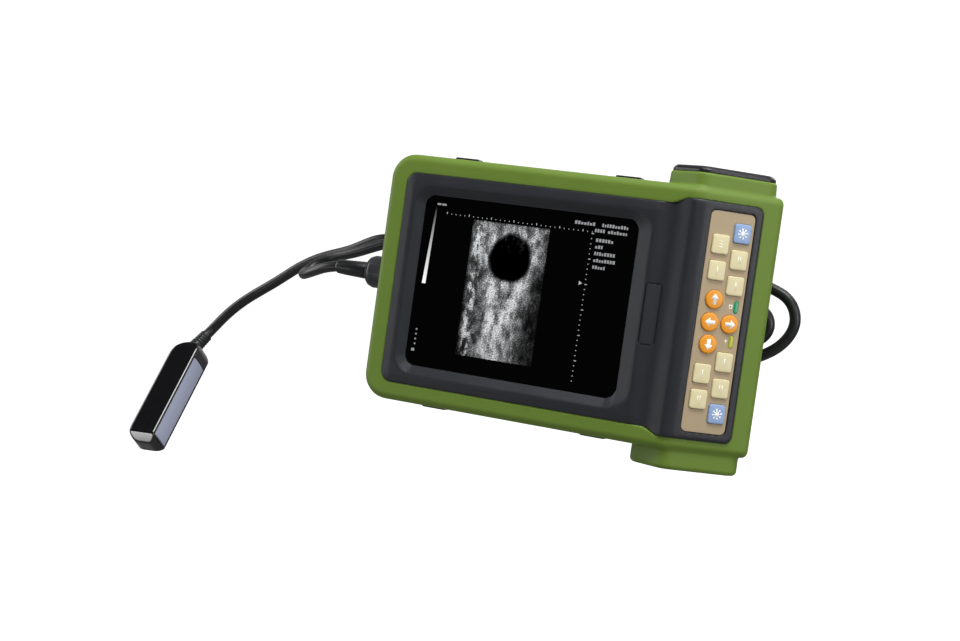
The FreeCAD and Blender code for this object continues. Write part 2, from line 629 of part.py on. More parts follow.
# ---------------------------------------------------------------- boards
b = slab_body("main_board", "XZ_Plane", rect(-104.0, 40.0, -50.0, 50.0), 18.0, 19.6, 2.0)
pocket(b, round_sketch(b, "XZ_Plane", [(x, z, 1.3) for x, z in SPACERS], -17.0), 4.0)
for x0, x1, z0, z1, t in ((-60.0, -38.0, 2.0, 24.0, 2.0), (-25.0, -11.0, 6.0, 20.0, 1.4), (-2.0, 12.0, -20.0, -6.0, 1.4), (-30.0, 14.0, -40.0, -34.0, 3.0), (-8.0, 20.0, 30.0, 36.0, 3.0)):
    pad(b, poly_sketch(b, "XZ_Plane", [rect(x0, x1, z0, z1)], -19.6 - t), t)
done("main_board", b)
b = slab_body("front_end_board", "XZ_Plane", rect(-104.0, -64.0, -34.0, 34.0), 25.0, 26.6, 1.5)
done("front_end_board", b)
b = slab_body("front_end_shield", "XZ_Plane", rect(-98.0, -68.0, -24.0, 24.0), 26.6, 31.0, 1.0)
cut_y(b, rect(-97.5, -68.5, -23.5, 23.5), 26.0, 30.5)
done("front_end_shield", b)
# spacers and screws are groups of equal turned pieces


def turned(name, items, place):
    """Group of equal turned pieces: items are (radius, start, end) along the axis, minus holes."""
    solids, bores = items
    parts = []
    k = 0
    for base in place:
        one = []
        for r, a, c in solids:
            cyl = doc.addObject("Part::Cylinder", "%s_c%d" % (name, k))
            k += 1
            r, a, c = q(r), q(a), q(c)
            cyl.Radius = r.v
            cyl.Height = c.v - a.v
            if bound(r):
                cyl.setExpression("Radius", r.s)
            cyl.Placement = base.multiply(P3(V(0, 0, a.v), ROT()))
            one.append(cyl)
        if len(one) > 1:
            f = doc.addObject("Part::MultiFuse", "%s_f%d" % (name, k))
            f.Shapes = one
            one = [f]
        for r, a, c in bores:
            cyl = doc.addObject("Part::Cylinder", "%s_b%d" % (name, k))
            k += 1
            cyl.Radius = q(r).v
            cyl.Height = q(c).v - q(a).v
            cyl.Placement = base.multiply(P3(V(0, 0, q(a).v), ROT()))
            f = doc.addObject("Part::Cut", "%s_d%d" % (name, k))
            f.Base = one[0]
            f.Tool = cyl
            one = [f]
        parts.append(one[0])
    if len(parts) == 1:
        out = parts[0]
    else:
        out = doc.addObject("Part::Compound", name)
        out.Links = parts
    doc.recompute()
    return out


AXY = ROT(V(1, 0, 0), -90)  # local Z along +Y
done("board_spacers", turned("board_spacers", ([(2.6, 11.3, 18.0)], [(1.15, 13.0, 18.5)]), [P3(V(x, 0, z), AXY) for x, z in SPACERS]))
done("board_screws", turned("board_screws", ([(1.1, 13.5, 19.7), (2.3, 19.6, 21.2)], [(0.7, 20.6, 22.0)]), [P3(V(x, 0, z), AXY) for x, z in SPACERS]))
done("case_screws", turned("case_screws", ([(1.2, 17.0, 34.0), (3.0, 33.9, 34.95)], [(0.9, 34.3, 36.0)]), [P3(V(x, 0, z), AXY) for x, z in SCREWS]))
done("buzzer", turned("buzzer", ([(6.0, 19.65, 22.8)], [(0.8, 22.0, 23.0)]), [P3(V(-88.0, 0, 22.0), AXY)]))

# ---------------------------------------------------------------- key panel parts, drawn in the slope's own axes
OI, OT = D("overlay_in"), D("overlay_thick")
b = slab_body("membrane_overlay", "XZ_Plane", rect(D("overlay_start"), D("overlay_end"), -D("overlay_half"), D("overlay_half")), OI, OI + OT, 3.0)
squares = [rect(s - KW - GAP, s + KW + GAP, z - KH - GAP, z + KH + GAP) for n, s, z, kind in KEYS if kind == "square"]
lw, lh = D("led_width") / 2.0, D("led_height") / 2.0
squares += [rect(s - lw - 0.05, s + lw + 0.05, z - lh - 0.05, z + lh + 0.05) for s, z in LEDS]
pocket(b, poly_sketch(b, "XZ_Plane", squares), 3.0)
pocket(b, round_sketch(b, "XZ_Plane", [(s, z, KR + GAP) for n, s, z, kind in KEYS if kind == "round"]), 3.0)
done("membrane_overlay", b, RIDGE)

KWI, FT, FX, KP = D("key_wall_in"), D("flange_thick"), D("flange_extra"), D("key_proud")
for name, s, z, kind in KEYS:
    b = new_body(name)
    if kind == "square":
        pad(b, poly_sketch(b, "XZ_Plane", [rect(-KW, KW, -KH, KH)], -(KWI + 0.1)), KWI + 0.1 + KP)
        dress(b, "Fillet", line_edge("y"), 1.2)
    else:
        pad(b, round_sketch(b, "XZ_Plane", [(0.0, 0.0, KR)], -(KWI + 0.1)), KWI + 0.1 + KP)
    dress(b, "Fillet", lambda e: e.BoundBox.YMax < -KP.v + 0.01, D("key_edge"))
    if kind == "square":
        pad(b, poly_sketch(b, "XZ_Plane", [rect(-KW - FX, KW + FX, -KH - FX, KH + FX)], -(KWI + 0.05 + FT)), FT)
    else:
        pad(b, round_sketch(b, "XZ_Plane", [(0.0, 0.0, KR + 0.45)], -(KWI + 0.05 + FT)), FT)
    done(name, b, RIDGE.multiply(P3(V(s, 0, z), ROT())))

BI, BT = D("board_in"), D("board_thick")
b = slab_body("key_board", "XZ_Plane", rect(7.0, 35.8, -62.0, 62.0), BI, BI + BT, 1.5)
done("key_board", b, RIDGE)
domes = []
for i, (n, s, z, kind) in enumerate(KEYS):
    c = doc.addObject("Part::Cone", "dome%d" % i)
    c.Radius1 = 4.0
    c.setExpression("Radius1", "dims.dome_dia / 2")
    c.Radius2 = 2.4
    c.setExpression("Radius2", "dims.dome_dia * 0.3")
    c.Height = 0.5
    c.setExpression("Height", "dims.dome_high")
    c.Placement = P3(V(s, BI.v, z), ROT(V(1, 0, 0), 90))
    domes.append(c)
comp = doc.addObject("Part::Compound", "snap_domes")
comp.Links = domes
done("snap_domes", comp, RIDGE)
lens = []
for i, (s, z) in enumerate(LEDS):
    lb = doc.addObject("Part::Box", "light%d" % i)
    lb.setExpression("Length", "dims.led_width")
    lb.setExpression("Height", "dims.led_height")
    lb.setExpression("Width", "dims.board_in - 0.35")
    lb.Placement = P3(V(s - lw.v, 0.3, z - lh.v), ROT())
    doc.recompute()
    fl = doc.addObject("Part::Fillet", "lightf%d" % i)
    fl.Base = lb
    fl.Edges = [(j + 1, 1.3, 1.3) for j, e in enumerate(lb.Shape.Edges) if abs(e.BoundBox.YLength) > 2]
    lens.append(fl)
comp = doc.addObject("Part::Compound", "indicator_lenses")
comp.Links = lens
done("indicator_lenses", comp, RIDGE)

# blank plate in the valley
b = new_body("label_plate")
pad(b, poly_sketch(b, "XY_Plane", [[plate_pt(1.0, 0.15), plate_pt(8.0, 0.15), plate_pt(8.0, 0.95), plate_pt(1.0, 0.95)]]), 34.0, sym=True)
done("label_plate", b)

# ---------------------------------------------------------------- strap bars
bars = []
for i, (x0, x1) in enumerate(BARS):
    for zs in (1.0, -1.0):
        bb = new_body("bar_%d_%s" % (i, "up" if zs > 0 else "down"))
        pts = [(x0, zs * 71.05), (x0 + 2.2, zs * 71.05), (x0 + 2.2, zs * 74.3), (x1 - 2.2, zs * 74.3), (x1 - 2.2, zs * 71.05), (x1, zs * 71.05), (x1, zs * 75.8), (x0, zs * 75.8)]
        pad(bb, poly_sketch(bb, "XZ_Plane", [pts], -23.0), 6.0)
        dress(bb, "Fillet", lambda e: e.BoundBox.YLength < 0.01 and abs(abs(e.BoundBox.ZMax) - 75.8) < 0.01 and e.BoundBox.XLength > 10, 0.6)
        bars.append(bb)
comp = doc.addObject("Part::Compound", "strap_bars")
comp.Links = bars
done("strap_bars", comp)

# ---------------------------------------------------------------- probe connector
PY, PZ = D("plug_y"), D("plug_z")


def x_prism(b, r, x0, x1):
    return pad(b, round_sketch(b, "YZ_Plane", [(PY, PZ, r)], x0), q(x1) - q(x0))


def x_bore(b, r, x0, x1):
    return pocket(b, round_sketch(b, "YZ_Plane", [(PY, PZ, r)], x1), q(x1) - q(x0))


CL = D("case_left")
SF = CL + 0.3  # face of the socket
b = new_body("probe_socket")
x_prism(b, D("socket_body"), SF, SF + 17.0)
x_prism(b, D("socket_flange"), Cv[0][0], Cv[0][0] + 2.0)
x_bore(b, D("socket_bore"), SF, SF + 15.5)
done("probe_socket", b)
b = new_body("socket_nut")
x_prism(b, 10.5, SF + 0.1, Hs[0][0])
x_bore(b, D("socket_body") + 0.02, SF, Hs[0][0] + 0.5)
dress(b, "Chamfer", lambda e: e.BoundBox.XMax < (SF + 0.12).v and e.BoundBox.YLength > 20, 0.4)
done("socket_nut", b)
PF = CL - 0.4  # shoulder of the plug, just off the sleeve
PE = D("plug_end")
b = new_body("probe_plug")
x_prism(b, D("plug_shell"), PE, PF)
x_prism(b, 9.2, PE, PE + 1.6)
x_prism(b, D("plug_nose"), PF, PF + 13.0)
x_bore(b, 4.8, PF + 3.0, PF + 13.0)
dress(b, "Fillet", lambda e: e.BoundBox.XMax < PE.v + 0.01 and e.BoundBox.YLength > 18, 0.8)
done("probe_plug", b)
b = new_body("lock_ring")
x_prism(b, D("ring_outer"), PE + 1.7, PF)
x_bore(b, D("ring_inner"), PE + 1.0, PF + 0.5)
dress(b, "Chamfer", lambda e: e.BoundBox.YLength > 19, 0.7)
done("lock_ring", b)
AX = ROT(V(0, 1, 0), 90)  # local Z along +X
pins = [P3(V(PF.v, PY.v + 3.2 * math.cos(a * math.pi / 4), PZ.v + 3.2 * math.sin(a * math.pi / 4)), AX) for a in range(8)]
done("plug_pins", turned("plug_pins", ([(0.5, 3.0, 12.6)], []), pins))
c = doc.addObject("Part::Cone", "plug_boot")
c.Radius1 = 5.2
c.setExpression("Radius1", "dims.boot_large")
c.Radius2 = 3.8
c.setExpression("Radius2", "dims.boot_small")
c.Height = 19.8
c.setExpression("Height", "dims.plug_end - dims.boot_end")
done("plug_boot", c, P3(V(PE.v, PY.v, PZ.v), ROT(V(0, 1, 0), -90)))

# ---------------------------------------------------------------- cable
# centre line: out of the plug, round to the back, one coil behind the case, then down to the probe
# both ends stop about half a millimetre short of the boots, because the cable leaves them at a slight angle
END = V(-277.28, 47.59, -67.32)  # centre of the probe's cable end
AXD = V(0.05112579, -0.60487287, -0.79467916)  # along the probe, towards its nose
AYD = V(0.99839472, 0.0115348, 0.05545211)  # out of the acoustic window
AZD = V(-0.02437501, -0.79623851, 0.6044916)  # out of the broad face
BOOT0 = V(-276.3, 47.0, -66.8)
BDIR = V(0.32528893, 0.55730198, 0.76393823)
BOOT1 = BOOT0 + BDIR * 11.0
PATH = [
    V(-161.55, 20.04, 0.38), V(-169.0, 20.6, -1.2), V(-180.0, 24.5, -4.6), V(-191.5, 32.5, -7.6), V(-196.2, 40.0, -7.2), V(-195.4, 46.6, -3.4),
    V(-188.2, 51.2, 2.8), V(-168.1, 48.5, 9.6), V(-146.6, 46.0, 17.4), V(-110.0, 44.0, 26.0), V(-50.0, 44.0, 32.5), V(5.0, 47.5, 35.0),
    V(40.0, 59.0, 34.0), V(70.0, 66.5, 31.0), V(99.0, 67.0, 24.0), V(112.0, 67.0, 18.0), V(117.4, 67.0, 6.5),
    V(113.0, 67.0, -6.0), V(98.5, 67.0, -17.2), V(68.0, 67.5, -27.0), V(40.0, 62.0, -32.5), V(5.0, 51.0, -36.0), V(-30.0, 44.5, -34.0),
    V(-51.0, 43.5, -22.0), V(-57.0, 43.5, -5.0), V(-45.0, 44.0, 9.0), V(-15.0, 45.5, 16.0), V(20.0, 52.0, 17.5),
    V(48.0, 64.0, 17.0), V(75.0, 67.5, 15.5), V(94.0, 67.5, 11.8), V(100.4, 67.5, 7.6), V(102.6, 67.5, 1.0), V(99.6, 67.5, -5.6), V(91.0, 67.8, -9.4),
    V(60.0, 69.0, -11.5), V(20.0, 62.5, -10.5), V(-20.0, 57.0, -7.0), V(-55.0, 54.5, -1.5), V(-100.0, 53.5, 9.0), V(-151.0, 53.5, 21.0),
    V(-173.5, 57.0, 11.9), V(-194.5, 60.0, 4.8), V(-213.8, 61.0, -5.0), V(-226.2, 61.0, -14.0), V(-238.8, 61.0, -22.8),
    V(-250.9, 60.0, -31.8), V(-262.2, 58.0, -43.0), BOOT0 + BDIR * 15.0, BOOT0 + BDIR * 11.5,
]
J1_INDEX, J2_INDEX = 45, 47
curve = Part.BSplineCurve()
curve.interpolate(PATH)
CUTS = [curve.parameter(PATH[J1_INDEX]), curve.parameter(PATH[J2_INDEX])]
u0, u1 = curve.FirstParameter, curve.LastParameter
SPANS = [(u0, CUTS[0]), (CUTS[0], CUTS[1]), (CUTS[1], u1)]
CR = D("cable_dia") / 2.0
BG = D("ball_gap")


def swept(name, span, pieces=1):
    sp = doc.addObject("Part::Feature", name + "_line")
    marks = [span[0] + (span[1] - span[0]) * k / pieces for k in range(pieces + 1)]
    sp.Shape = Part.Wire([curve.toShape(marks[k], marks[k + 1]) for k in range(pieces)])
    ci = doc.addObject("Part::Circle", name + "_round")
    ci.Radius = CR.v
    ci.setExpression("Radius", CR.s)
    ci.Placement = P3(curve.value(span[0]), ROT(V(0, 0, 1), V(*curve.tangent(span[0])[0])))
    sw = doc.addObject("Part::Sweep", name + "_sweep")
    sw.Sections = [ci]
    sw.Spine = (sp, ["Edge%d" % (k + 1) for k in range(pieces)])
    sw.Solid = True
    sw.Frenet = False
    return sw


def ball(name, at, r):
    o = doc.addObject("Part::Sphere", name)
    o.Radius = r.v
    o.setExpression("Radius", r.s)
    o.Placement = P3(at, ROT())
    return o


def fuse(name, shapes):
    o = doc.addObject("Part::MultiFuse", name)
    o.Shapes = shapes
    return o


def cut(name, base, tool):
    o = doc.addObject("Part::Cut", name)
    o.Base = base
    o.Tool = tool
    return o


J1, J2 = PATH[J1_INDEX], PATH[J2_INDEX]
done("cable_run", fuse("cable_run", [swept("run", SPANS[0], 12), ball("run_ball", J1, CR)]))
done("cable_link", cut("cable_link", fuse("link_all", [swept("link", SPANS[1]), ball("link_ball", J2, CR)]), ball("link_cup", J1, CR + BG)))
done("cable_tail", cut("cable_tail", swept("tail", SPANS[2]), ball("tail_cup", J2, CR + BG)))

# ---------------------------------------------------------------- probe, drawn along its own axis
m = FreeCAD.Matrix(AXD.x, AYD.x, AZD.x, END.x, AXD.y, AYD.y, AZD.y, END.y, AXD.z, AYD.z, AZD.z, END.z, 0, 0, 0, 1)
PROBE = P3(m)
PW, PD, LN = D("probe_width") / 2.0, D("probe_depth") / 2.0, D("probe_length")
b = new_body("probe_housing")
pad(b, poly_sketch(b, "XY_Plane", [[(0.0, -PW), (LN, -PW), (LN, PW), (0.0, PW)]]), PD * 2.0, sym=True)
dress(b, "Fillet", line_edge("z", [("x", 0.0), ("y", -PW.v)]), 13.0)
dress(b, "Fillet", line_edge("z", [("x", 0.0), ("y", PW.v)]), 4.0)
dress(b, "Fillet", line_edge("z", [("x", LN.v), ("y", -PW.v)]), 7.0)
dress(b, "Fillet", line_edge("z", [("x", LN.v), ("y", PW.v)]), 3.0)
dress(b, "Fillet", lambda e: e.BoundBox.ZLength < 0.01 and abs(abs(e.BoundBox.ZMin) - PD.v) < 0.01 and e.BoundBox.XMin > -0.1 and e.BoundBox.XMax < LN.v - 4.0, 1.6)
WS, WE, WW = D("window_start"), D("window_end"), D("probe_window") / 2.0
# seat of the window lens and the room behind it
pocket(b, poly_sketch(b, "XZ_Plane", [rect(WS, WE, -WW, WW)], -(PW - 2.0)), 3.0)
pocket(b, poly_sketch(b, "XZ_Plane", [rect(WS + 2.0, WE - 2.0, -WW + 1.5, WW - 1.5)], 4.0), PW + 3.0)
done("probe_housing", b, PROBE)
b = new_body("probe_lens")
pad(b, poly_sketch(b, "XZ_Plane", [rect(WS + 0.02, WE - 0.02, -WW + 0.02, WW - 0.02)], -(PW + 0.5)), 2.45)
dress(b, "Fillet", lambda e: e.BoundBox.YMin > (PW + 0.5).v - 0.01, 0.45)
done("probe_lens", b, PROBE)
box = box_node("transducer_array", WS + 3.0, WE - 3.0, -2.0, PW - 2.1, -WW + 2.0, WW - 2.0)
NODES["transducer_array"] = (box, PROBE.multiply(P3(V((WS + 3.0).v, -2.0, (-WW + 2.0).v), ROT())))
# the bend guard leaves the probe at a slant, and is trimmed to the probe's end
cone = doc.addObject("Part::Cone", "probe_guard")
cone.Radius1 = 4.6
cone.Radius2 = 4.1
cone.setExpression("Radius2", "dims.probe_boot")
cone.Height = 15.0
cone.Placement = P3(BOOT1 - BDIR * 15.0, ROT(V(0, 0, 1), BDIR))
tool = doc.addObject("Part::Box", "guard_trim")
tool.Length = 60.0
tool.Width = 60.0
tool.Height = 60.0
tool.Placement = PROBE.multiply(P3(V(0.0, -30.0, -30.0), ROT()))
done("probe_boot", cut("probe_boot", cone, tool))

# ---------------------------------------------------------------- battery
b = new_body("battery_bay")
stadium_pad(b, D("bay_outer"), -68.4, ZH - 0.05)
stadium_cut(b, D("bay_inner"), -66.9, 75.0)
done("battery_bay", b)
done("battery_contacts", turned("battery_contacts", ([(2.0, -66.9, -66.05)], []), [P3(V(BX.v + dx, BY.v, 0), ROT()) for dx in (-12.0, -4.0, 4.0, 12.0)]))
b = new_body("battery_case")
stadium_pad(b, D("case_outer"), -D("case_floor"), D("case_lid"))
stadium_cut(b, D("cell_dia") / 2.0 + 0.15, -D("case_floor") + 1.2, D("case_lid") + 1.0)
done("battery_case", b)
cells = []
for k, (dx, z0) in enumerate(((-1, -64.5), (1, -64.5), (-1, 1.0), (1, 1.0))):
    cells.append(P3(V(BX.v + dx * CP.v, BY.v, z0), ROT()))
done("battery_cells", turned("battery_cells", ([(D("cell_dia") / 2.0, 0.0, D("cell_length"))], []), cells))
G = mitre(F, D("cap_inset"))
b = new_body("battery_cap")
pad(b, poly_sketch(b, "XY_Plane", [G], D("collar_top")), D("cap_top") - D("collar_top"))
dress(b, "Fillet", line_edge("z"), 4.0)
dress(b, "Chamfer", lambda e: e.BoundBox.ZMin > D("cap_top").v - 0.01, 1.8)
stadium_pad(b, 10.2, D("case_lid"), D("collar_top"))
done("battery_cap", b)
b = new_body("battery_seal")
stadium_pad(b, 11.9, D("neck_top"), D("collar_top"))
stadium_cut(b, 10.25, D("neck_top") - 1.0, D("collar_top") + 1.0)
done("battery_seal", b)

# ---------------------------------------------------------------- place, check and write
cx = (F[0][0].v + F[1][0].v + F[2][0].v + F[3][0].v + F[4][0].v + F[5][0].v) / 6.0
SHIFT = V(-76.0, -32.0, float(sheet.get("base_bottom")))
doc.recompute()
for name, (obj, place) in NODES.items():
    obj.Placement = P3(SHIFT, ROT()).multiply(place)
doc.recompute()
bad = list(BROKEN)
for o in doc.Objects:
    if "Invalid" in o.State or "Error" in o.State:
        bad.append((o.Name, str(o.State)))
for name, (obj, place) in NODES.items():
    s = obj.Shape
    if s.isNull() or not s.isValid() or not s.Solids:
        bad.append((name, "bad shape"))
        continue
    for sol in s.Solids:
        if sol.Volume < 0.05 or not sol.isClosed():
            bad.append((name, "solid %.3f" % sol.Volume))
if bad:
    for line in bad:
        print("BAD", line)
    raise SystemExit("model has failed objects")
for name, (obj, place) in NODES.items():
    obj.Shape.exportStep("parts/%s.step" % name)
print("nodes", len(NODES))
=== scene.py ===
"""Portable scanner in a rubber sleeve, with a coiled cord and a probe.

Shapes are written in drawing millimetres: x to the right, y to the back, z up, seen from
the front. The display faces -y, the keys lie on a slope that falls back at the right end,
the plug leaves at the left end and the battery cap closes the top of the right end.
Solids are fields (negative inside, mm) that grid_mesh turns into meshes.
"""
import math

import bpy
import numpy as np
from mathutils import Matrix, Vector


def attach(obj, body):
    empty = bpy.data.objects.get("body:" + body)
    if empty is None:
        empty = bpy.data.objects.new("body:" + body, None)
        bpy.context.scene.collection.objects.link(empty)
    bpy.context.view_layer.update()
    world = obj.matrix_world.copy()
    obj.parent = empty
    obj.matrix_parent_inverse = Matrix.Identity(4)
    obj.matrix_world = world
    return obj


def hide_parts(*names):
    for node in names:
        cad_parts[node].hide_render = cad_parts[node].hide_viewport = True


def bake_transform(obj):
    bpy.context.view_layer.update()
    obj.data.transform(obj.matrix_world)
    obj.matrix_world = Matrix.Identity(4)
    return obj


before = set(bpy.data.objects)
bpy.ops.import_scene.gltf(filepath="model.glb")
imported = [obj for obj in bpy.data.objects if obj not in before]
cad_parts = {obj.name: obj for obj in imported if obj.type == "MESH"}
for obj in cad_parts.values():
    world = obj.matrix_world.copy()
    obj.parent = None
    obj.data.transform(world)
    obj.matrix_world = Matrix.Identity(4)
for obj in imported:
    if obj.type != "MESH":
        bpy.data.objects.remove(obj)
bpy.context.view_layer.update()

ORIGIN_SHIFT = np.array([-76.0, -32.0, 85.0])  # drawing axes to the row frame, mm


def to_row(points):
    """Drawing millimetres to row-frame metres."""
    return (np.asarray(points, float) + ORIGIN_SHIFT) / 1000.0


# ------------------------------------------------------------------ field helpers
def round_max(one, other, radius):
    """Intersection with a round edge."""
    return np.minimum(np.maximum(one, other), -radius) + np.sqrt(
        np.maximum(one + radius, 0) ** 2 + np.maximum(other + radius, 0) ** 2)


def round_min(one, other, radius):
    """Union with a filleted joint."""
    return -round_max(-one, -other, radius)


def cut(body, hole, radius=None):
    """The body less the hole, with a round rim where a radius is given."""
    return np.maximum(body, -hole) if radius is None else round_max(body, -hole, radius)


def plane(x, y, normal, point):
    return normal[0] * (x - point[0]) + normal[1] * (y - point[1])


def disc(x, y, centre, radius):
    return np.sqrt((x - centre[0]) ** 2 + (y - centre[1]) ** 2) - radius


def box(x, y, x0, x1, y0, y1, radius):
    """Rectangle with round corners, in any two axes."""
    from_x = np.abs(x - (x0 + x1) / 2) - (x1 - x0) / 2 + radius
    from_y = np.abs(y - (y0 + y1) / 2) - (y1 - y0) / 2 + radius
    outside = np.sqrt(np.maximum(from_x, 0) ** 2 + np.maximum(from_y, 0) ** 2)
    return outside + np.minimum(np.maximum(from_x, from_y), 0) - radius


def polygon(x, y, corners):
    """Signed distance to a closed polygon."""
    nearest = np.full(np.broadcast(x, y).shape, 1e18)
    sign = np.ones(nearest.shape)
    for i, (x0, y0) in enumerate(corners):
        x1, y1 = corners[i - 1]
        edge_x, edge_y = x1 - x0, y1 - y0
        rel_x, rel_y = x - x0, y - y0
        along = np.clip((rel_x * edge_x + rel_y * edge_y) / (edge_x * edge_x + edge_y * edge_y), 0, 1)
        nearest = np.minimum(nearest, (rel_x - edge_x * along) ** 2 + (rel_y - edge_y * along) ** 2)
        above, below, left = y >= y0, y < y1, edge_x * rel_y > edge_y * rel_x
        flip = (above & below & left) | (~above & ~below & ~left)
        sign = np.where(flip, -sign, sign)
    return sign * np.sqrt(nearest)


def inset(corners, width):
    """The polygon with every side moved inwards."""
    moved = []
    for i in range(len(corners)):
        before, here = np.array(corners[i - 1]), np.array(corners[i])
        after = np.array(corners[(i + 1) % len(corners)])
        edge_in = (here - before) / np.linalg.norm(here - before)
        edge_out = (after - here) / np.linalg.norm(after - here)
        normal_in = np.array([-edge_in[1], edge_in[0]])
        normal_out = np.array([-edge_out[1], edge_out[0]])
        moved.append(tuple(here + width * (normal_in + normal_out) / (1 + normal_in @ normal_out)))
    return moved


def smooth(value):
    value = np.clip(value, 0, 1)
    return value * value * (3 - 2 * value)


def soft_positive(value, knee):
    """max(value, 0) with a soft knee."""
    return 0.5 * (value + np.sqrt(value * value + knee * knee))


# ------------------------------------------------------------------ key slope
KEY_TILT = math.radians(39.0)
TILT_COS, TILT_SIN = math.cos(KEY_TILT), math.sin(KEY_TILT)
SLOPE_X = 71.5  # where the slope meets the front plane y = 0


def slope_run(x, y):
    """Distance down the slope from its crest."""
    return (x - SLOPE_X) * TILT_COS + y * TILT_SIN


def slope_depth(x, y):
    """Depth below the key plane."""
    return -(x - SLOPE_X) * TILT_SIN + y * TILT_COS


def slope_xy(run, depth):
    return (SLOPE_X + run * TILT_COS - depth * TILT_SIN, run * TILT_SIN + depth * TILT_COS)


def slope_points(run, depth, z):
    run, depth, z = np.broadcast_arrays(run, depth, z)
    return np.stack([*slope_xy(run, depth), z], -1).astype(float)


# ------------------------------------------------------------------ outer form of the case
# Boxes are: low, high of the first axis, low, high of the second axis, corner radius.
END_OUTLINE = [  # x, y corners of the two ends that stand out above and below the case
    (46.0, 15.0), (70.3, 3.6), slope_xy(47.0, 3.5), (96.3, 57.3), (59.0, 57.3), (46.0, 44.6)]
CASE_BOX = (-121.7, 400.0, -74.0, 74.0, 15.0)  # x, z; the right side is cut by a plane
SIDE_NORMAL, SIDE_POINT = (0.9013, 0.4333), (110.5, 33.5)  # right side plane, x, y
RAMP_NORMAL = (-0.6989, 0.7152)  # left flank of the bulge at the back, x, y
BULGE_X, BULGE_Y, BULGE_RADIUS = 58, 59.5, 10.0
BACK_Y = 38.0
PARTING_X, PARTING_Y_LEFT = 60.0, 8.0  # the parting plane steps back to BACK_Y at this x
RIM_DEPTH, RIM_CREST = 1.5, 3.0  # sleeve rim below the front plane, its crest radius
PANEL_CREST = 3.2
WALL_OUT, WALL_IN = 3.0, 5.5  # case wall below the outer form
SLEEVE_WALL = 2.95
SOCKET_YZ = (20.0, 0.5)
STRAP_SPANS = ((-89.0, -73.0), (14.0, 30.0))  # x of the strap openings


def front_face(x, y, depth, crest_radius):
    """Front plane and key slope, sunk by depth."""
    return round_max(depth - y, depth - slope_depth(x, y), crest_radius)


def case_form(x, y, z):
    side = plane(x, y, SIDE_NORMAL, SIDE_POINT)
    ramp = plane(x, y, RAMP_NORMAL, (BULGE_X, BULGE_Y))
    bulge = round_max(round_max(y - BULGE_Y, ramp, BULGE_RADIUS), side, BULGE_RADIUS)
    back = round_min(y - BACK_Y, bulge, 12.0)
    body = round_max(front_face(x, y, RIM_DEPTH, RIM_CREST), box(x, z, *CASE_BOX), 4.6)
    body = round_max(body, side, 3.6)
    return round_max(body, back, 7.0)


def end_outline(x, y, margin, radius):
    """END_OUTLINE drawn in by the margin, with round corners."""
    return polygon(x, y, inset(END_OUTLINE, margin + radius)) - radius


def end_form(x, y, z):
    outline = end_outline(x, y, 0.0, 9.0)
    tapered = outline + 0.05 * np.maximum(z - 74, 0)
    top = round_max(round_max(tapered, z - 82.0, 1.4), 60.0 - z, 0.1)
    bottom = round_max(round_max(outline, -85.0 - z, 2.6), z + 60.0, 0.1)
    return np.minimum(top, bottom)


def case_wall(x, y, z):
    form = case_form(x, y, z)
    return np.maximum(form + WALL_OUT, -(form + WALL_IN))


def parting_y(x):
    return np.where(x < PARTING_X, PARTING_Y_LEFT, BACK_Y)


def battery_bay(x, y, radius):
    """Upright slot with round ends, wide in x."""
    return disc(np.maximum(np.abs(x - 76.5) - 9.3, 0), y, (0.0, 42.0), radius)


# ------------------------------------------------------------------ front panel
PANEL_LEFT, PANEL_RUN = -111.2, 39.5  # left edge in x, lower end along the slope
PANEL_HALF, PANEL_FLARE = 63.0, 3.7  # half height, and its growth at the right
FLARE_X, FLARE_LENGTH = 55.0, 11.5
WINDOW_BOX = (-97.6, 37.6, -51.0, 51.0, 6.5)  # x, z
# Relief: width from the edge where a fall starts, and its steepness
BORDER_WIDTH, BORDER_FALL = 5.4, 0.22
LIP_WIDTH, LIP_FALL = 1.3, 0.42
BEZEL_WIDTH, BEZEL_FALL, BEZEL_DEPTH = 5.9, 0.57, 3.25
BEZEL_STRETCH = 0.62  # distances right of the window are shortened by this
VALLEY_X, VALLEY_WIDTH, VALLEY_DEPTH = 57.5, 13.0, 2.6  # between window and keys
PLATE_NORMAL, PLATE_POINT = (0.951, 0.309), (47.0, 0.0)  # direction across the plate, x, y
PLATE_BOX = (1.1, 9.3, -17.35, 16.35, 1.5)  # across, z
PLATE_SEAT = (0.75, 9.6, -17.7, 16.7, 1.8)
OVERLAY_GROOVE = (7.9, 35.1, -62.4, 62.4, 3.4)  # along the slope, z
OVERLAY_OPENING = (9.3, 34.0, -61.0, 61.0, 2.0)
OVERLAY_BOX = (8.3, 34.7, -62.0, 62.0, 3.0)


def panel_outline(x, y, z):
    half = PANEL_HALF + PANEL_FLARE * smooth((x - FLARE_X) / FLARE_LENGTH)
    upright = round_max(-(x - PANEL_LEFT), np.abs(z) - half, 7.0)
    return round_max(upright, slope_run(x, y) - PANEL_RUN, 4.5)


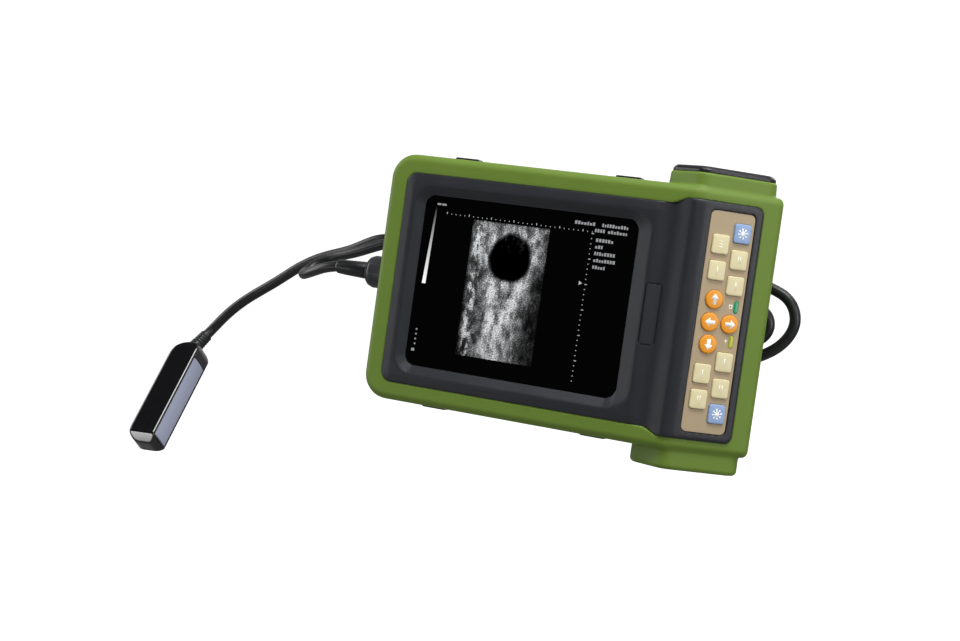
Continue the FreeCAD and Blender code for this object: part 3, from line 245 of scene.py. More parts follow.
def panel_depth(x, y, z):
    """How far the panel's surface lies below the crest plane."""
    outline = panel_outline(x, y, z)
    left_part = 1 - smooth((x - 50.0) / 14.0)
    border = soft_positive(outline + BORDER_WIDTH, 0.3) * BORDER_FALL * left_part
    lip = soft_positive(outline + LIP_WIDTH, 0.5) * LIP_FALL * (1 - left_part)
    right = WINDOW_BOX[1]
    near_x = np.where(x > right, right + (x - right) * BEZEL_STRETCH, x)
    bezel = soft_positive(BEZEL_WIDTH - box(near_x, z, *WINDOW_BOX), 0.3) * BEZEL_FALL
    edges = border + lip + np.maximum(np.minimum(bezel, BEZEL_DEPTH), 0)
    valley = VALLEY_DEPTH * np.where(
        x < VALLEY_X,
        smooth((x - (VALLEY_X - VALLEY_WIDTH)) / VALLEY_WIDTH) ** 1.2,
        1 - smooth((x - VALLEY_X) / VALLEY_WIDTH))
    # soft crease where the valley and the sunk edges meet
    crease = 0.35 * np.exp(-((edges - valley) ** 2) / 1.2)
    return np.maximum(edges, valley) + crease * smooth(np.minimum(edges, valley) / 0.8)


def panel_surface(x, y, z):
    return front_face(x, y, 0.0, PANEL_CREST) + panel_depth(x, y, z)


def front_field(x, y, z):
    surface = panel_surface(x, y, z)
    slab = round_max(surface, panel_outline(x, y, z), 0.5)
    slab = cut(slab, front_face(x, y, 4.9, 3.0))
    field = np.minimum(slab, np.maximum(case_wall(x, y, z), y - parting_y(x)))
    # window opening and the seat of the glass
    window = box(x, z, *WINDOW_BOX)
    field = cut(field, np.maximum(window, y - 12.0))
    field = cut(field, np.maximum(window - 2.5, 3.6 - y))
    # groove and seat of the key overlay, opening behind it
    run, depth = slope_run(x, y), slope_depth(x, y)
    groove = np.maximum(box(run, z, *OVERLAY_GROOVE), np.abs(depth) - 1.6)
    field = cut(field, groove, 0.25)
    field = cut(field, np.maximum(box(run, z, *OVERLAY_OPENING), depth - 12.0))
    # fine groove around the blank plate
    seat = box(plane(x, y, PLATE_NORMAL, PLATE_POINT), z, *PLATE_SEAT)
    return cut(field, np.maximum(np.abs(seat) - 0.28, -surface - 0.85), 0.1)


def plate_field(x, y, z):
    """Blank plate in the valley; follows the panel's own surface."""
    surface = panel_surface(x, y, z)
    plate = box(plane(x, y, PLATE_NORMAL, PLATE_POINT), z, *PLATE_BOX)
    return cut(round_max(plate, surface - 0.05, 0.2), surface + 0.55, 0.1)


# ------------------------------------------------------------------ sleeve, rear case, cap
SLEEVE_BACK_OPENING = (-108.0, 30.0, -62.0, 62.0, 9.0)  # x, z
BACK_TRAY = (-88.0, 8.0, -38.0, 38.0, 6.0)  # x, z
SCREW_X, SCREW_Z = (-101.0, -36.0, 28.0), (57.5, -57.5)
CAP_TOP = 85.6
CAP_RECESS = (62.0, 91.0, 36.0, 48.0, 3.0)  # x, y


def sleeve_field(x, y, z):
    body = case_form(x + 1.6 * smooth((-104.0 - x) / 10.0), y, z)
    ends = end_form(x, y, z)
    field = cut(round_min(body, ends, 1.3), np.minimum(body, ends) + SLEEVE_WALL)
    # openings for the front panel and in the back
    panel = panel_outline(x, y, z) - 0.06
    panel_reach = -(front_face(x, y, RIM_DEPTH, RIM_CREST) + 3.6)
    field = cut(field, np.maximum(panel, panel_reach), 0.45)
    field = cut(field, np.maximum(box(x, z, *SLEEVE_BACK_OPENING), 33.5 - y), 0.6)
    # mouth of the upper end, socket hole
    field = cut(field, np.maximum(end_outline(x, y, SLEEVE_WALL, 6.0), 78.0 - z))
    field = cut(field, np.maximum(disc(y, z, SOCKET_YZ, 11.0), x + 114.0), 0.5)
    height = np.abs(z)
    for x0, x1 in STRAP_SPANS:
        dip = np.maximum(box(x, y, x0 + 1.6, x1 - 1.6, 13.5, 26.5, 2.0), 72.3 - height)
        slot = np.maximum(box(x, y, x0 - 0.06, x1 + 0.06, 16.9, 23.1, 0.4), 70.0 - height)
        field = cut(field, np.minimum(dip, slot), 0.35)
    return field


def rear_field(x, y, z):
    shell = np.maximum(case_wall(x, y, z), parting_y(x) - y)
    neck = np.maximum(end_form(x, y, z) + 3.05, np.abs(z) - 81.2)
    neck = np.maximum(neck, 71.0 - np.abs(z))
    # the battery bay runs through the upper neck and the wall below it
    bay = battery_bay(x, y, 10.6)
    neck = cut(neck, np.maximum(bay, -z))
    field = np.minimum(shell, neck)
    field = cut(field, np.maximum(bay - 1.2, np.maximum(60.0 - z, z - 71.0)))
    # shallow tray and screw seats in the back
    field = cut(field, np.maximum(box(x, z, *BACK_TRAY), 34.2 - y), 0.35)
    for screw_z in SCREW_Z:
        for screw_x in SCREW_X:
            field = cut(field, np.maximum(disc(x, z, (screw_x, screw_z), 3.2), 33.85 - y))
    return cut(field, np.maximum(disc(y, z, SOCKET_YZ, 8.1), x + 112.0))


def cap_field(x, y, z):
    outline = end_outline(x, y, 1.2, 7.8)
    lid = round_max(np.maximum(outline, 82.02 - z), z - CAP_TOP, 0.5)
    lid = round_max(lid, (outline + (z - CAP_TOP) + 1.9) * 0.7071, 0.4)  # chamfer
    plug = np.maximum(np.maximum(battery_bay(x, y, 10.2), 70.0 - z), z - 82.5)
    return cut(np.minimum(lid, plug), np.maximum(box(x, y, *CAP_RECESS), 85.1 - z), 0.2)


# ------------------------------------------------------------------ surface nets
CORNERS = [(i, j, k) for i in (0, 1) for j in (0, 1) for k in (0, 1)]
SLICE = 24  # grid layers sampled at a time
SETTLE_STEPS = 3


def cell_points(values, cells):
    """Mean of the edge crossings of each cell, in cell units."""
    total = np.zeros((len(cells), 3))
    crossings = np.zeros(len(cells))
    at_corner = {c: values[cells[:, 0] + c[0], cells[:, 1] + c[1], cells[:, 2] + c[2]].astype(float)
                 for c in CORNERS}
    for corner in CORNERS:
        for axis in range(3):
            if corner[axis]:
                continue
            far = list(corner)
            far[axis] = 1
            start, end = at_corner[corner], at_corner[tuple(far)]
            crossed = (start < 0) != (end < 0)
            share = np.where(crossed, start / np.where(crossed, start - end, 1), 0)
            point = np.tile(np.array(corner, float), (len(cells), 1))
            point[:, axis] += share
            total += point * crossed[:, None]
            crossings += crossed
    return cells + total / crossings[:, None]


def settle(field, points, pitch):
    """Pull the points onto the surface, within reach of where they started."""
    start = points.copy()
    probe = pitch * 0.25
    for _ in range(SETTLE_STEPS):
        here = field(points[:, 0], points[:, 1], points[:, 2])
        slopes = [(field(*(points + step).T) - field(*(points - step).T)) / (2 * probe)
                  for step in np.eye(3) * probe]
        gradient = np.stack(slopes, 1)
        steepness = np.maximum((gradient * gradient).sum(1), 0.2)
        points = points - gradient * (here / steepness)[:, None] * 0.8
        points = np.clip(points, start - pitch * 0.6, start + pitch * 0.6)
    return points


def cell_quads(inside, ids):
    """One quad around every grid edge that crosses the surface."""
    count = np.array(inside.shape)
    quads = []
    for axis in range(3):
        second, third = (axis + 1) % 3, (axis + 2) % 3
        near, far = [slice(None)] * 3, [slice(None)] * 3
        near[axis], far[axis] = slice(0, count[axis] - 1), slice(1, count[axis])
        edges = np.argwhere(inside[tuple(near)] != inside[tuple(far)])
        edges = edges[(edges[:, second] > 0) & (edges[:, third] > 0)
                      & (edges[:, second] < count[second] - 1)
                      & (edges[:, third] < count[third] - 1)]
        outward = inside[tuple(edges.T)]
        around = np.zeros((4, 3), int)
        around[1:3, second] = -1
        around[2:4, third] = -1
        quad = np.stack([ids[tuple((edges + around[k]).T)] for k in range(4)], 1)
        quad[~outward] = quad[~outward][:, ::-1]
        quads.append(quad)
    return np.concatenate(quads)


def grid_mesh(field, low, high, pitch):
    low, high = np.array(low, float), np.array(high, float)
    count = np.ceil((high - low) / pitch).astype(int) + 1
    axes = [low[i] + pitch * np.arange(count[i]) for i in range(3)]
    values = np.empty(count, np.float32)
    for i in range(0, count[0], SLICE):
        block = np.meshgrid(axes[0][i:i + SLICE], axes[1], axes[2], indexing="ij")
        values[i:i + SLICE] = field(*block)
    inside = values < 0
    filled = np.zeros(count - 1, np.int8)
    for i, j, k in CORNERS:
        filled += inside[i:count[0] - 1 + i, j:count[1] - 1 + j, k:count[2] - 1 + k]
    cells = np.argwhere((filled > 0) & (filled < 8))
    ids = -np.ones(count - 1, np.int64)
    ids[tuple(cells.T)] = np.arange(len(cells))
    points = low + cell_points(values, cells) * pitch
    return settle(field, points, pitch), cell_quads(inside, ids)


def add_mesh(name, points, faces, material, body=None, piece=None, slot=None, sharp=None):
    """Object from drawing points; edges over `sharp` degrees stay hard."""
    mesh = bpy.data.meshes.new(name)
    points = to_row(points)
    if isinstance(faces, np.ndarray):
        count, sides = faces.shape
        mesh.vertices.add(len(points))
        mesh.vertices.foreach_set("co", points.astype(np.float32).ravel())
        mesh.loops.add(count * sides)
        mesh.loops.foreach_set("vertex_index", faces.astype(np.int32).ravel())
        mesh.polygons.add(count)
        starts = np.arange(0, count * sides, sides, dtype=np.int32)
        mesh.polygons.foreach_set("loop_start", starts)
        mesh.update(calc_edges=True)
    else:
        mesh.from_pydata([tuple(p) for p in points], [], faces)
        mesh.update()
    mesh.validate()
    item = bpy.data.objects.new(name, mesh)
    bpy.context.scene.collection.objects.link(item)
    mesh.shade_smooth()
    if sharp:
        mesh.set_sharp_from_angle(angle=math.radians(sharp))
    mesh.materials.append(material)
    if body:
        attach(item, body)
    if piece:
        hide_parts(piece)
    return item


# ------------------------------------------------------------------ materials
def srgb(*channels):
    """0-255 display values to a linear colour."""
    return tuple(((c / 255.0 + 0.055) / 1.055) ** 2.4 if c > 10 else c / 255.0 / 12.92
                 for c in channels) + (1.0,)


def tinted(color, factor, lift=0.0):
    return tuple(min(1, c * factor + lift) for c in color[:3]) + (1,)


def add_noise(tree, coords, scale, detail):
    noise = tree.nodes.new("ShaderNodeTexNoise")
    noise.inputs["Scale"].default_value = scale
    noise.inputs["Detail"].default_value = detail
    tree.links.new(coords.outputs["Object"], noise.inputs["Vector"])
    return noise.outputs["Fac"]


def add_edge_sheen(tree, color_out, color, edge_sheen):
    """Painted highlight: paler colour on the convex edges, where they catch the light."""
    nodes, link = tree.nodes, tree.links.new
    geometry = nodes.new("ShaderNodeNewGeometry")
    ramp = nodes.new("ShaderNodeValToRGB")
    ramp.color_ramp.elements[0].position = 0.52
    ramp.color_ramp.elements[1].position = 0.62
    link(geometry.outputs["Pointiness"], ramp.inputs["Fac"])
    amount = nodes.new("ShaderNodeMath")
    amount.operation = "MULTIPLY"
    amount.inputs[1].default_value = edge_sheen
    link(ramp.outputs["Color"], amount.inputs[0])
    mix = nodes.new("ShaderNodeMix")
    mix.data_type = "RGBA"
    mix.inputs["B"].default_value = tinted(color, 1.6, 0.02)
    link(amount.outputs[0], mix.inputs["Factor"])
    link(color_out, mix.inputs["A"])
    return mix.outputs["Result"]


def surface(name, color, rough=0.5, bump=0.15, grain=1500.0, vary=0.12, metallic=0.0, coat=0.0,
            rough_vary=0.08, specular=0.5, edge_sheen=0.0, glow=None):
    """Principled material: fine noise (grain) for bump, broad noise for colour and roughness."""
    mat = bpy.data.materials.new(name)
    mat.use_nodes = True
    tree = mat.node_tree
    nodes, link = tree.nodes, tree.links.new
    inputs = nodes["Principled BSDF"].inputs
    coords = nodes.new("ShaderNodeTexCoord")
    fine = add_noise(tree, coords, scale=grain, detail=3)
    broad = add_noise(tree, coords, scale=60.0, detail=4)
    mix = nodes.new("ShaderNodeMix")
    mix.data_type = "RGBA"
    mix.inputs["A"].default_value = tinted(color, 1 - vary)
    mix.inputs["B"].default_value = tinted(color, 1 + vary)
    link(broad, mix.inputs["Factor"])
    color_out = mix.outputs["Result"]
    # painted highlight: convex edges made paler, as if they caught the light
    if edge_sheen > 0:
        color_out = add_edge_sheen(tree, color_out, color, edge_sheen)
    link(color_out, inputs["Base Color"])
    roughness = nodes.new("ShaderNodeMapRange")
    roughness.inputs["To Min"].default_value = max(0.02, rough - rough_vary)
    roughness.inputs["To Max"].default_value = min(1, rough + rough_vary)
    link(broad, roughness.inputs["Value"])
    link(roughness.outputs["Result"], inputs["Roughness"])
    relief = nodes.new("ShaderNodeBump")
    relief.inputs["Strength"].default_value = bump
    relief.inputs["Distance"].default_value = 0.0002
    link(fine, relief.inputs["Height"])
    link(relief.outputs["Normal"], inputs["Normal"])
    inputs["Metallic"].default_value = metallic
    inputs["Coat Weight"].default_value = coat
    inputs["Coat Roughness"].default_value = 0.06
    inputs["Specular IOR Level"].default_value = specular
    if glow is not None:
        inputs["Emission Color"].default_value = color
        inputs["Emission Strength"].default_value = glow
    return mat


# the paler convex edges of the sleeve, case and cap are a painted highlight
SLEEVE_GREEN = surface("sleeve_rubber", srgb(106, 133, 47), rough=0.52, bump=0.22, grain=1300,
                       vary=0.05, specular=0.35, edge_sheen=0.25, rough_vary=0.06)
CHARCOAL = surface("charcoal_plastic", srgb(37, 39, 44), rough=0.4, bump=0.45, grain=2200,
                   vary=0.06, specular=0.45, edge_sheen=0.25)
PLATE_GREY = surface("plate_plastic", srgb(38, 40, 45), rough=0.48, bump=0.35, grain=2200, vary=0.05)
BEIGE = surface("overlay_beige", srgb(180, 160, 128), rough=0.42, bump=0.12, grain=3000,
                vary=0.05, specular=0.4)
CREAM = surface("key_cream", srgb(232, 221, 176), rough=0.4, bump=0.08, grain=2500,
                vary=0.03, specular=0.4)
BLUE = surface("key_blue", srgb(150, 176, 217), rough=0.38, bump=0.08, grain=2500,
               vary=0.04, specular=0.4)
ORANGE = surface("key_orange", srgb(246, 160, 30), rough=0.34, bump=0.06, grain=2500,
                 vary=0.05, specular=0.45)
# the white print glows a little: painted light, as the marks are no lamp
ICON_WHITE_GLOWING = surface("icon_white_painted_glow", srgb(255, 255, 250), bump=0.05, grain=2500, vary=0.01, glow=0.25)
GLYPH_PALE_GLOWING = surface("glyph_pale_painted_glow", srgb(255, 252, 236), bump=0.05, grain=2500, vary=0.01, glow=0.12)
BLACK = surface("cap_black", srgb(26, 27, 31), rough=0.3, bump=0.3, grain=2200, vary=0.06, edge_sheen=0.2)
GLASS = surface("window_black", srgb(2, 2, 2), rough=0.08, bump=0.01, grain=400, vary=0.3,
                rough_vary=0.03, specular=0.2)
JACKET = surface("cable_jacket", srgb(26, 27, 29), rough=0.34, bump=0.12, grain=900, vary=0.08)
CONNECTOR = surface("connector_grey", srgb(50, 51, 55), rough=0.36, grain=1800, vary=0.06)
GLOSS = surface("probe_gloss", srgb(12, 12, 14), rough=0.1, bump=0.012, grain=300, vary=0.2,
                rough_vary=0.03, coat=0.6)
LAVENDER = surface("lens_lavender", srgb(160, 164, 186), rough=0.42, bump=0.1, grain=1800,
                   vary=0.03, specular=0.35)
STEEL = surface("steel", srgb(150, 150, 152), rough=0.32, bump=0.1, grain=1200, metallic=1.0)
BRASS = surface("brass", srgb(196, 160, 90), rough=0.35, bump=0.1, grain=1200, metallic=1.0)
BOARD = surface("board_green", srgb(20, 92, 50), rough=0.4, bump=0.2, grain=800, vary=0.25)
FILM = surface("ribbon_film", srgb(180, 120, 40), rough=0.35, bump=0.05, grain=800, vary=0.1)
FOAM = surface("seal_foam", srgb(40, 40, 42), rough=0.8, bump=0.5, grain=3000)
CELL_WRAP = surface("cell_wrap", srgb(60, 110, 170), rough=0.35, bump=0.05, grain=900)
CERAMIC = surface("array_ceramic", srgb(170, 160, 130), bump=0.2)
LAMP_GREEN = surface("indicator_green", srgb(20, 140, 95), rough=0.15, bump=0.02, grain=900, glow=0.15)
LAMP_YELLOW = surface("indicator_yellow", srgb(165, 175, 30), rough=0.15, bump=0.02, grain=900,
                      glow=0.15)
LCD_GLASS = surface("display_glass", srgb(40, 44, 50), rough=0.15, bump=0.02, grain=500)

CARRIED = {  # CAD pieces that keep their shape
    "window_gasket": FOAM, "battery_seal": FOAM, "lcd_panel": LCD_GLASS, "lcd_bracket": STEEL,
    "front_end_shield": STEEL, "main_board": BOARD, "front_end_board": BOARD, "key_board": BOARD,
    "display_ribbon": FILM, "board_spacers": BRASS, "battery_contacts": BRASS, "plug_pins": BRASS,
    "board_screws": STEEL, "case_screws": STEEL, "snap_domes": STEEL, "probe_socket": STEEL,
    "socket_nut": STEEL, "transducer_array": CERAMIC, "battery_bay": BLACK,
    "battery_case": BLACK, "battery_cells": CELL_WRAP, "buzzer": BLACK,
}
for node_name, node_material in CARRIED.items():
    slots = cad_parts[node_name].data.materials
    slots.clear()
    slots.append(node_material)

# ------------------------------------------------------------------ case pieces
CASE_PITCH = 0.75

add_mesh("sleeve", *grid_mesh(sleeve_field, (-126, -1, -88), (113, 62, 85), CASE_PITCH),
         SLEEVE_GREEN, "case", "rubber_sleeve", "sleeve_rubber", sharp=50)
add_mesh("front_case", *grid_mesh(front_field, (-120, -2, -73), (110, 40, 73), CASE_PITCH * 0.9),
         CHARCOAL, "case", "front_housing", "charcoal_plastic", sharp=42)
add_mesh("rear_case", *grid_mesh(rear_field, (-120, 6, -83), (110, 58, 83), CASE_PITCH),
         CHARCOAL, "case", "rear_housing", "charcoal_plastic", sharp=42)
add_mesh("cap", *grid_mesh(cap_field, (44, 2, 69), (108, 59, 87), 0.6),
         BLACK, "battery", "battery_cap", "black_plastic", sharp=40)


# ------------------------------------------------------------------ ring-built pieces
def rounded_rect(half_a, half_b, radius, steps=7):
    """Outline of a rounded rectangle, anticlockwise."""
    radius = min(radius, half_a, half_b)
    flat_a, flat_b = half_a - radius, half_b - radius
    points = []
    for centre_a, centre_b, start in ((flat_a, flat_b, 0), (-flat_a, flat_b, 90),
                                      (-flat_a, -flat_b, 180), (flat_a, -flat_b, 270)):
        for k in range(steps + 1):
            angle = math.radians(start + 90 * k / steps)
            points.append((centre_a + radius * math.cos(angle), centre_b + radius * math.sin(angle)))
    return np.array(points)


def circle(radius):
    angles = np.linspace(0, 2 * math.pi, 48, endpoint=False)
    return np.stack([radius * np.cos(angles), radius * np.sin(angles)], 1)


def band_faces(rings, count, closed=False):
    faces = []
    for k in range(rings if closed else rings - 1):
        near, far = k * count, (k + 1) % rings * count
        for i in range(count):
            j = (i + 1) % count
            faces.append((near + i, near + j, far + j, far + i))
    return faces


def stack(rings):
    """Rings of equal count joined by quads and closed at both ends with a fan."""
    count = len(rings[0])
    faces = band_faces(len(rings), count)
    first_centre = len(rings) * count
    last = first_centre - count
    for i in range(count):
        j = (i + 1) % count
        faces.append((first_centre, j, i))
        faces.append((first_centre + 1, last + i, last + j))
    return np.concatenate(rings + [[rings[0].mean(0)], [rings[-1].mean(0)]]), faces


def slope_stack(run, z, rings):
    """rings: (outline, depth) about a place on the slope, from back to front."""
    return stack([slope_points(run + outline[::-1, 0], depth, z + outline[::-1, 1])
                  for outline, depth in rings])


def edge_round(steps, width, depth, rise):
    """(inset, depth) stations of a quarter-round edge."""
    angles = [k / steps * math.pi / 2 for k in range(1, steps + 1)]
    return [(width * (1 - math.cos(a)), depth - rise * math.sin(a)) for a in angles]


def prisms(polygons, back, front, place):
    """Thin prisms on 2D polygons; place(a, depth, b) gives the 3D point."""
    points, faces = [], []
    for corners in polygons:
        base, count = len(points), len(corners)
        points += [place(a, depth, b) for depth in (back, front) for a, b in corners]
        faces.append(tuple(base + count + i for i in range(count)))
        faces.append(tuple(base + count - 1 - i for i in range(count)))
        for i in range(count):
            j = (i + 1) % count
            faces.append((base + i, base + j, base + count + j, base + count + i))
    return np.array(points), faces


def decal(name, polygons, run, z, depth, material, body, thick=0.06):
    """Raised marks on the slope."""
    def place(along, level, across):
        return slope_points(run + along, level, z + across)

    add_mesh(name, *prisms(polygons, depth, depth - thick, place), material, body)


def bar(x0, y0, x1, y1, width):
    direction = np.array([x1 - x0, y1 - y0])
    direction = direction / np.linalg.norm(direction)
    side = np.array([-direction[1], direction[0]]) * width / 2
    start, end = np.array([x0, y0]), np.array([x1, y1])
    return [tuple(start - side), tuple(end - side), tuple(end + side), tuple(start + side)]


# ------------------------------------------------------------------ keys
KEYS = [  # name, distance down the slope, z, kind
    ("key_freeze", 28.0, 50.8, "blue"), ("key_depth", 28.0, 36.0, "cream"),
    ("key_gain_up", 28.0, 21.5, "cream"), ("key_right", 28.0, 0.0, "right"),
    ("key_gain_down", 28.0, -21.4, "cream"), ("key_store", 28.0, -36.2, "cream"),
    ("key_power", 28.0, -50.6, "blue"), ("key_menu", 15.9, 43.5, "cream"),
    ("key_measure", 15.9, 28.8, "cream"), ("key_up", 17.0, 12.7, "up"),
    ("key_left", 16.2, 0.0, "left"), ("key_down", 17.0, -12.4, "down"),
    ("key_mode", 15.9, -29.0, "cream"), ("key_recall", 15.9, -43.4, "cream"),
]
KEY_HALF = (4.93, 5.38)  # along the slope, z
KEY_RADIUS = 5.18  # round keys
FLANGE_BACK, FLANGE_FRONT, STEM_BACK = 4.95, 4.2, 4.15  # depths
ARROW = [(0, 3.1), (-2.5, 0.3), (-1.0, 0.3), (-1.0, -2.8), (1.0, -2.8), (1.0, 0.3), (2.5, 0.3)]
ARROW_TURN = {"up": 0, "left": 90, "down": 180, "right": -90}
CREAM_MARKS = [
    [bar(0, -2.2, 0, 2.2, 0.55)],
    [bar(a, -2.0, a, 2.0, 0.4) for a in (-0.7, 0.7)],
    [bar(0, -2.2, 0, 2.2, 0.45), bar(-1.0, 0, 1.0, 0, 0.45)],
    [bar(-1.2, b, 1.2, b, 0.45) for b in (-1.6, 0, 1.6)],
]


def square_key_rings():
    flange = rounded_rect(4.95 + 0.55, 5.4 + 0.55, 1.5)
    half_a, half_b = KEY_HALF
    stem = rounded_rect(half_a, half_b, 1.3)
    rings = [(flange, FLANGE_BACK), (flange, FLANGE_FRONT), (stem, STEM_BACK), (stem, -0.15)]
    rings += [(rounded_rect(half_a - inward, half_b - inward, 1.3), depth)
              for inward, depth in edge_round(5, width=0.65, depth=-0.15, rise=0.5)]
    crown = ((1.1, -0.69), (1.9, -0.75), (3.0, -0.79), (4.0, -0.8))  # inset, depth
    return rings + [(rounded_rect(half_a - inward, half_b - inward, 1.0), depth)
                    for inward, depth in crown]


def round_key_rings():
    rings = [(circle(5.62), FLANGE_BACK), (circle(5.62), FLANGE_FRONT),
             (circle(KEY_RADIUS), STEM_BACK), (circle(KEY_RADIUS), -0.1)]
    rings += [(circle(KEY_RADIUS - inward), depth)
              for inward, depth in edge_round(6, width=0.8, depth=-0.1, rise=0.55)]
    crown = ((3.9, -0.71), (3.0, -0.765), (1.8, -0.79), (0.8, -0.8))  # radius, depth
    return rings + [(circle(radius), depth) for radius, depth in crown]


def arrow(kind):
    turn = math.radians(ARROW_TURN[kind])
    cos, sin = math.cos(turn), math.sin(turn)
    return [[(x * cos - y * sin, x * sin + y * cos) for x, y in ARROW]]


def star():
    """Four crossed bars, then a dot at each tip."""
    shapes = []
    for k in range(4):
        angle = math.radians(45 * k + 10)
        a, b = 2.5 * math.cos(angle), 2.5 * math.sin(angle)
        shapes.append(bar(-a, -b, a, b, 0.45))
    for k in range(8):
        angle = math.radians(45 * k + 10)
        a, b = 2.55 * math.cos(angle), 2.55 * math.sin(angle)
        shapes.append([(a + 0.5 * math.cos(turn), b + 0.5 * math.sin(turn))
                       for turn in np.linspace(0, 2 * math.pi, 8, endpoint=False)])
    return shapes


def add_key(index, name, run, z, kind):
    if kind in ARROW_TURN:
        rings, material, slot = round_key_rings(), ORANGE, "key_orange"
        marks, mark_depth, mark_material = arrow(kind), -0.79, ICON_WHITE_GLOWING
    elif kind == "blue":
        rings, material, slot = square_key_rings(), BLUE, "key_blue"
        marks, mark_depth, mark_material = star(), -0.77, ICON_WHITE_GLOWING
    else:
        rings, material, slot = square_key_rings(), CREAM, "key_cream"
        marks, mark_depth, mark_material = CREAM_MARKS[index % 4], -0.77, GLYPH_PALE_GLOWING
    add_mesh(name + "_cap", *slope_stack(run, z, rings), material, name, name, slot, sharp=50)
    # the marks use the glowing print materials: painted light
    decal(name + "_mark", marks, run, z, mark_depth, mark_material, name)


for key_index, key in enumerate(KEYS):
    add_key(key_index, *key)

# ------------------------------------------------------------------ overlay and indicators
INDICATOR_RUN = 30.6
INDICATORS = [  # z, material, marks beside it
    (9.9, LAMP_GREEN, [bar(-0.8, 0.9, 0.8, 0.9, 0.35), bar(-0.8, -0.9, 0.8, -0.9, 0.35),
                       bar(-0.8, -0.9, -0.8, 0.9, 0.35), bar(0.8, -0.9, 0.8, 0.9, 0.35)]),
    (-9.6, LAMP_YELLOW, [bar(0, 1.0, 0, -1.0, 0.4), bar(-0.8, 0.2, 0.8, 0.2, 0.4)]),
]


def overlay_field(run, depth, z):
    """Sheet with openings for keys and indicators, in the slope's own axes."""
    field = round_max(box(run, z, *OVERLAY_BOX), np.abs(depth - 1.05) - 0.55, 0.12)
    for _, key_run, key_z, kind in KEYS:
        if kind in ARROW_TURN:
            hole = disc(run, z, (key_run, key_z), 5.3)
        else:
            hole = box(run - key_run, z - key_z, -5.05, 5.05, -5.5, 5.5, 1.35)
        field = cut(field, hole)
    for lamp_z, _, _ in INDICATORS:
        field = cut(field, box(run - INDICATOR_RUN, z - lamp_z, -1.4, 1.4, -3.55, 3.55, 1.3))
    return field


def add_indicator(number, z, material, marks):
    half_a, half_b = 1.33, 3.48
    outline = rounded_rect(half_a, half_b, 1.3)
    rings = [(outline, 6.1), (outline, 0.45)]
    rings += [(rounded_rect(half_a - inward, half_b - inward, 1.25), depth)
              for inward, depth in edge_round(4, width=0.7, depth=0.45, rise=0.3)]
    add_mesh("indicator_%d" % number, *slope_stack(INDICATOR_RUN, z, rings), material,
             "case", "indicator_lenses", "indicator_green", sharp=50)
    decal("indicator_mark_%d" % number, marks, INDICATOR_RUN - 3.2, z, 0.5, ICON_WHITE_GLOWING, "case",
          thick=0.05)


sheet, sheet_faces = grid_mesh(overlay_field, (7.5, 0.1, -63), (35.5, 2.0, 63),
                               0.3)
add_mesh("overlay", slope_points(*sheet.T), sheet_faces, BEIGE,
         "case", "membrane_overlay", "overlay_beige", sharp=40)
for lamp_number, lamp in enumerate(INDICATORS, 1):
    add_indicator(lamp_number, *lamp)

add_mesh("plate", *grid_mesh(plate_field, (44, -1, -20), (60, 5, 19), 0.4),
         PLATE_GREY, "case", "label_plate", "plate_plastic", sharp=40)


# ------------------------------------------------------------------ window
def add_window():
    rings = []
    for inward, y in ((0.0, 5.4), (0.0, 3.75), (0.15, 3.6)):
        outline = rounded_rect(70.0 - inward, 53.4 - inward, 6.0, 10)
        rings.append(np.stack([outline[:, 0] - 30.0, y + 0 * outline[:, 0], outline[:, 1]], 1))
    points, faces = stack(rings)
    add_mesh("window", points, [face[::-1] for face in faces], GLASS,
             "case", "screen_window", "window_black", sharp=30)


add_window()


# ------------------------------------------------------------------ strap bars
def strap_bar(x, y, z, x0, x1):
    height = np.abs(z)
    outer = round_max(box(x, height, x0, x1, 71.05, 75.8, 1.2), np.abs(y - 20.0) - 3.0, 0.5)
    return cut(outer, box(x, height, x0 + 2.2, x1 - 2.2, 60.0, 74.3, 0.6))


def bars_field(x, y, z):
    return np.minimum(*(strap_bar(x, y, z, x0, x1) for x0, x1 in STRAP_SPANS))


def add_bars():
    """Four bars, two at the top and two at the bottom, as one object."""
    points, faces, base = [], [], 0
    for z_low, z_high in ((70, 77), (-77, -70)):
        for x0, x1 in STRAP_SPANS:
            part, part_faces = grid_mesh(bars_field, (x0 - 1, 16, z_low), (x1 + 1, 24, z_high),
                                         0.3)
            points.append(part)
            faces.append(part_faces + base)
            base += len(part)
    add_mesh("bars", np.concatenate(points), np.concatenate(faces), BLACK,
             "case", "strap_bars", "black_plastic", sharp=40)


add_bars()


# ------------------------------------------------------------------ turned pieces
def turned_rings(profile, start, axis, count, flute=None):
    """profile: (distance along axis, radius)."""
    axis = np.array(axis, float)
    axis /= np.linalg.norm(axis)
    side = np.cross(axis, [0, 0, 1.0])
    side /= np.linalg.norm(side)
    other = np.cross(axis, side)
    angles = np.linspace(0, 2 * math.pi, count, endpoint=False)
    spokes = np.cos(angles)[:, None] * side + np.sin(angles)[:, None] * other
    rings = []
    for distance, radius in profile:
        radii = np.full(count, radius)
        if flute:
            radii = radii - flute(distance, angles)
        rings.append(np.array(start) + axis * distance + radii[:, None] * spokes)
    return rings


def lathe(profile, start, axis, count=64):
    """Turned solid closed at both ends."""
    return stack(turned_rings(profile, start, axis, count))


def lathe_tube(profile, start, axis, count=96, flute=None):
    """Turned tube; the profile goes out along the outside and back along the bore."""
    rings = turned_rings(profile, start, axis, count, flute)
    return np.concatenate(rings), band_faces(len(rings), count, closed=True)


def ring_flute(distance, angles):
    """24 shallow flutes in the middle of the lock ring."""
    if not 3.5 < distance < 11.1:
        return 0.0 * angles
    return 0.08 * (0.5 + 0.5 * np.cos(angles * 24)) ** 2


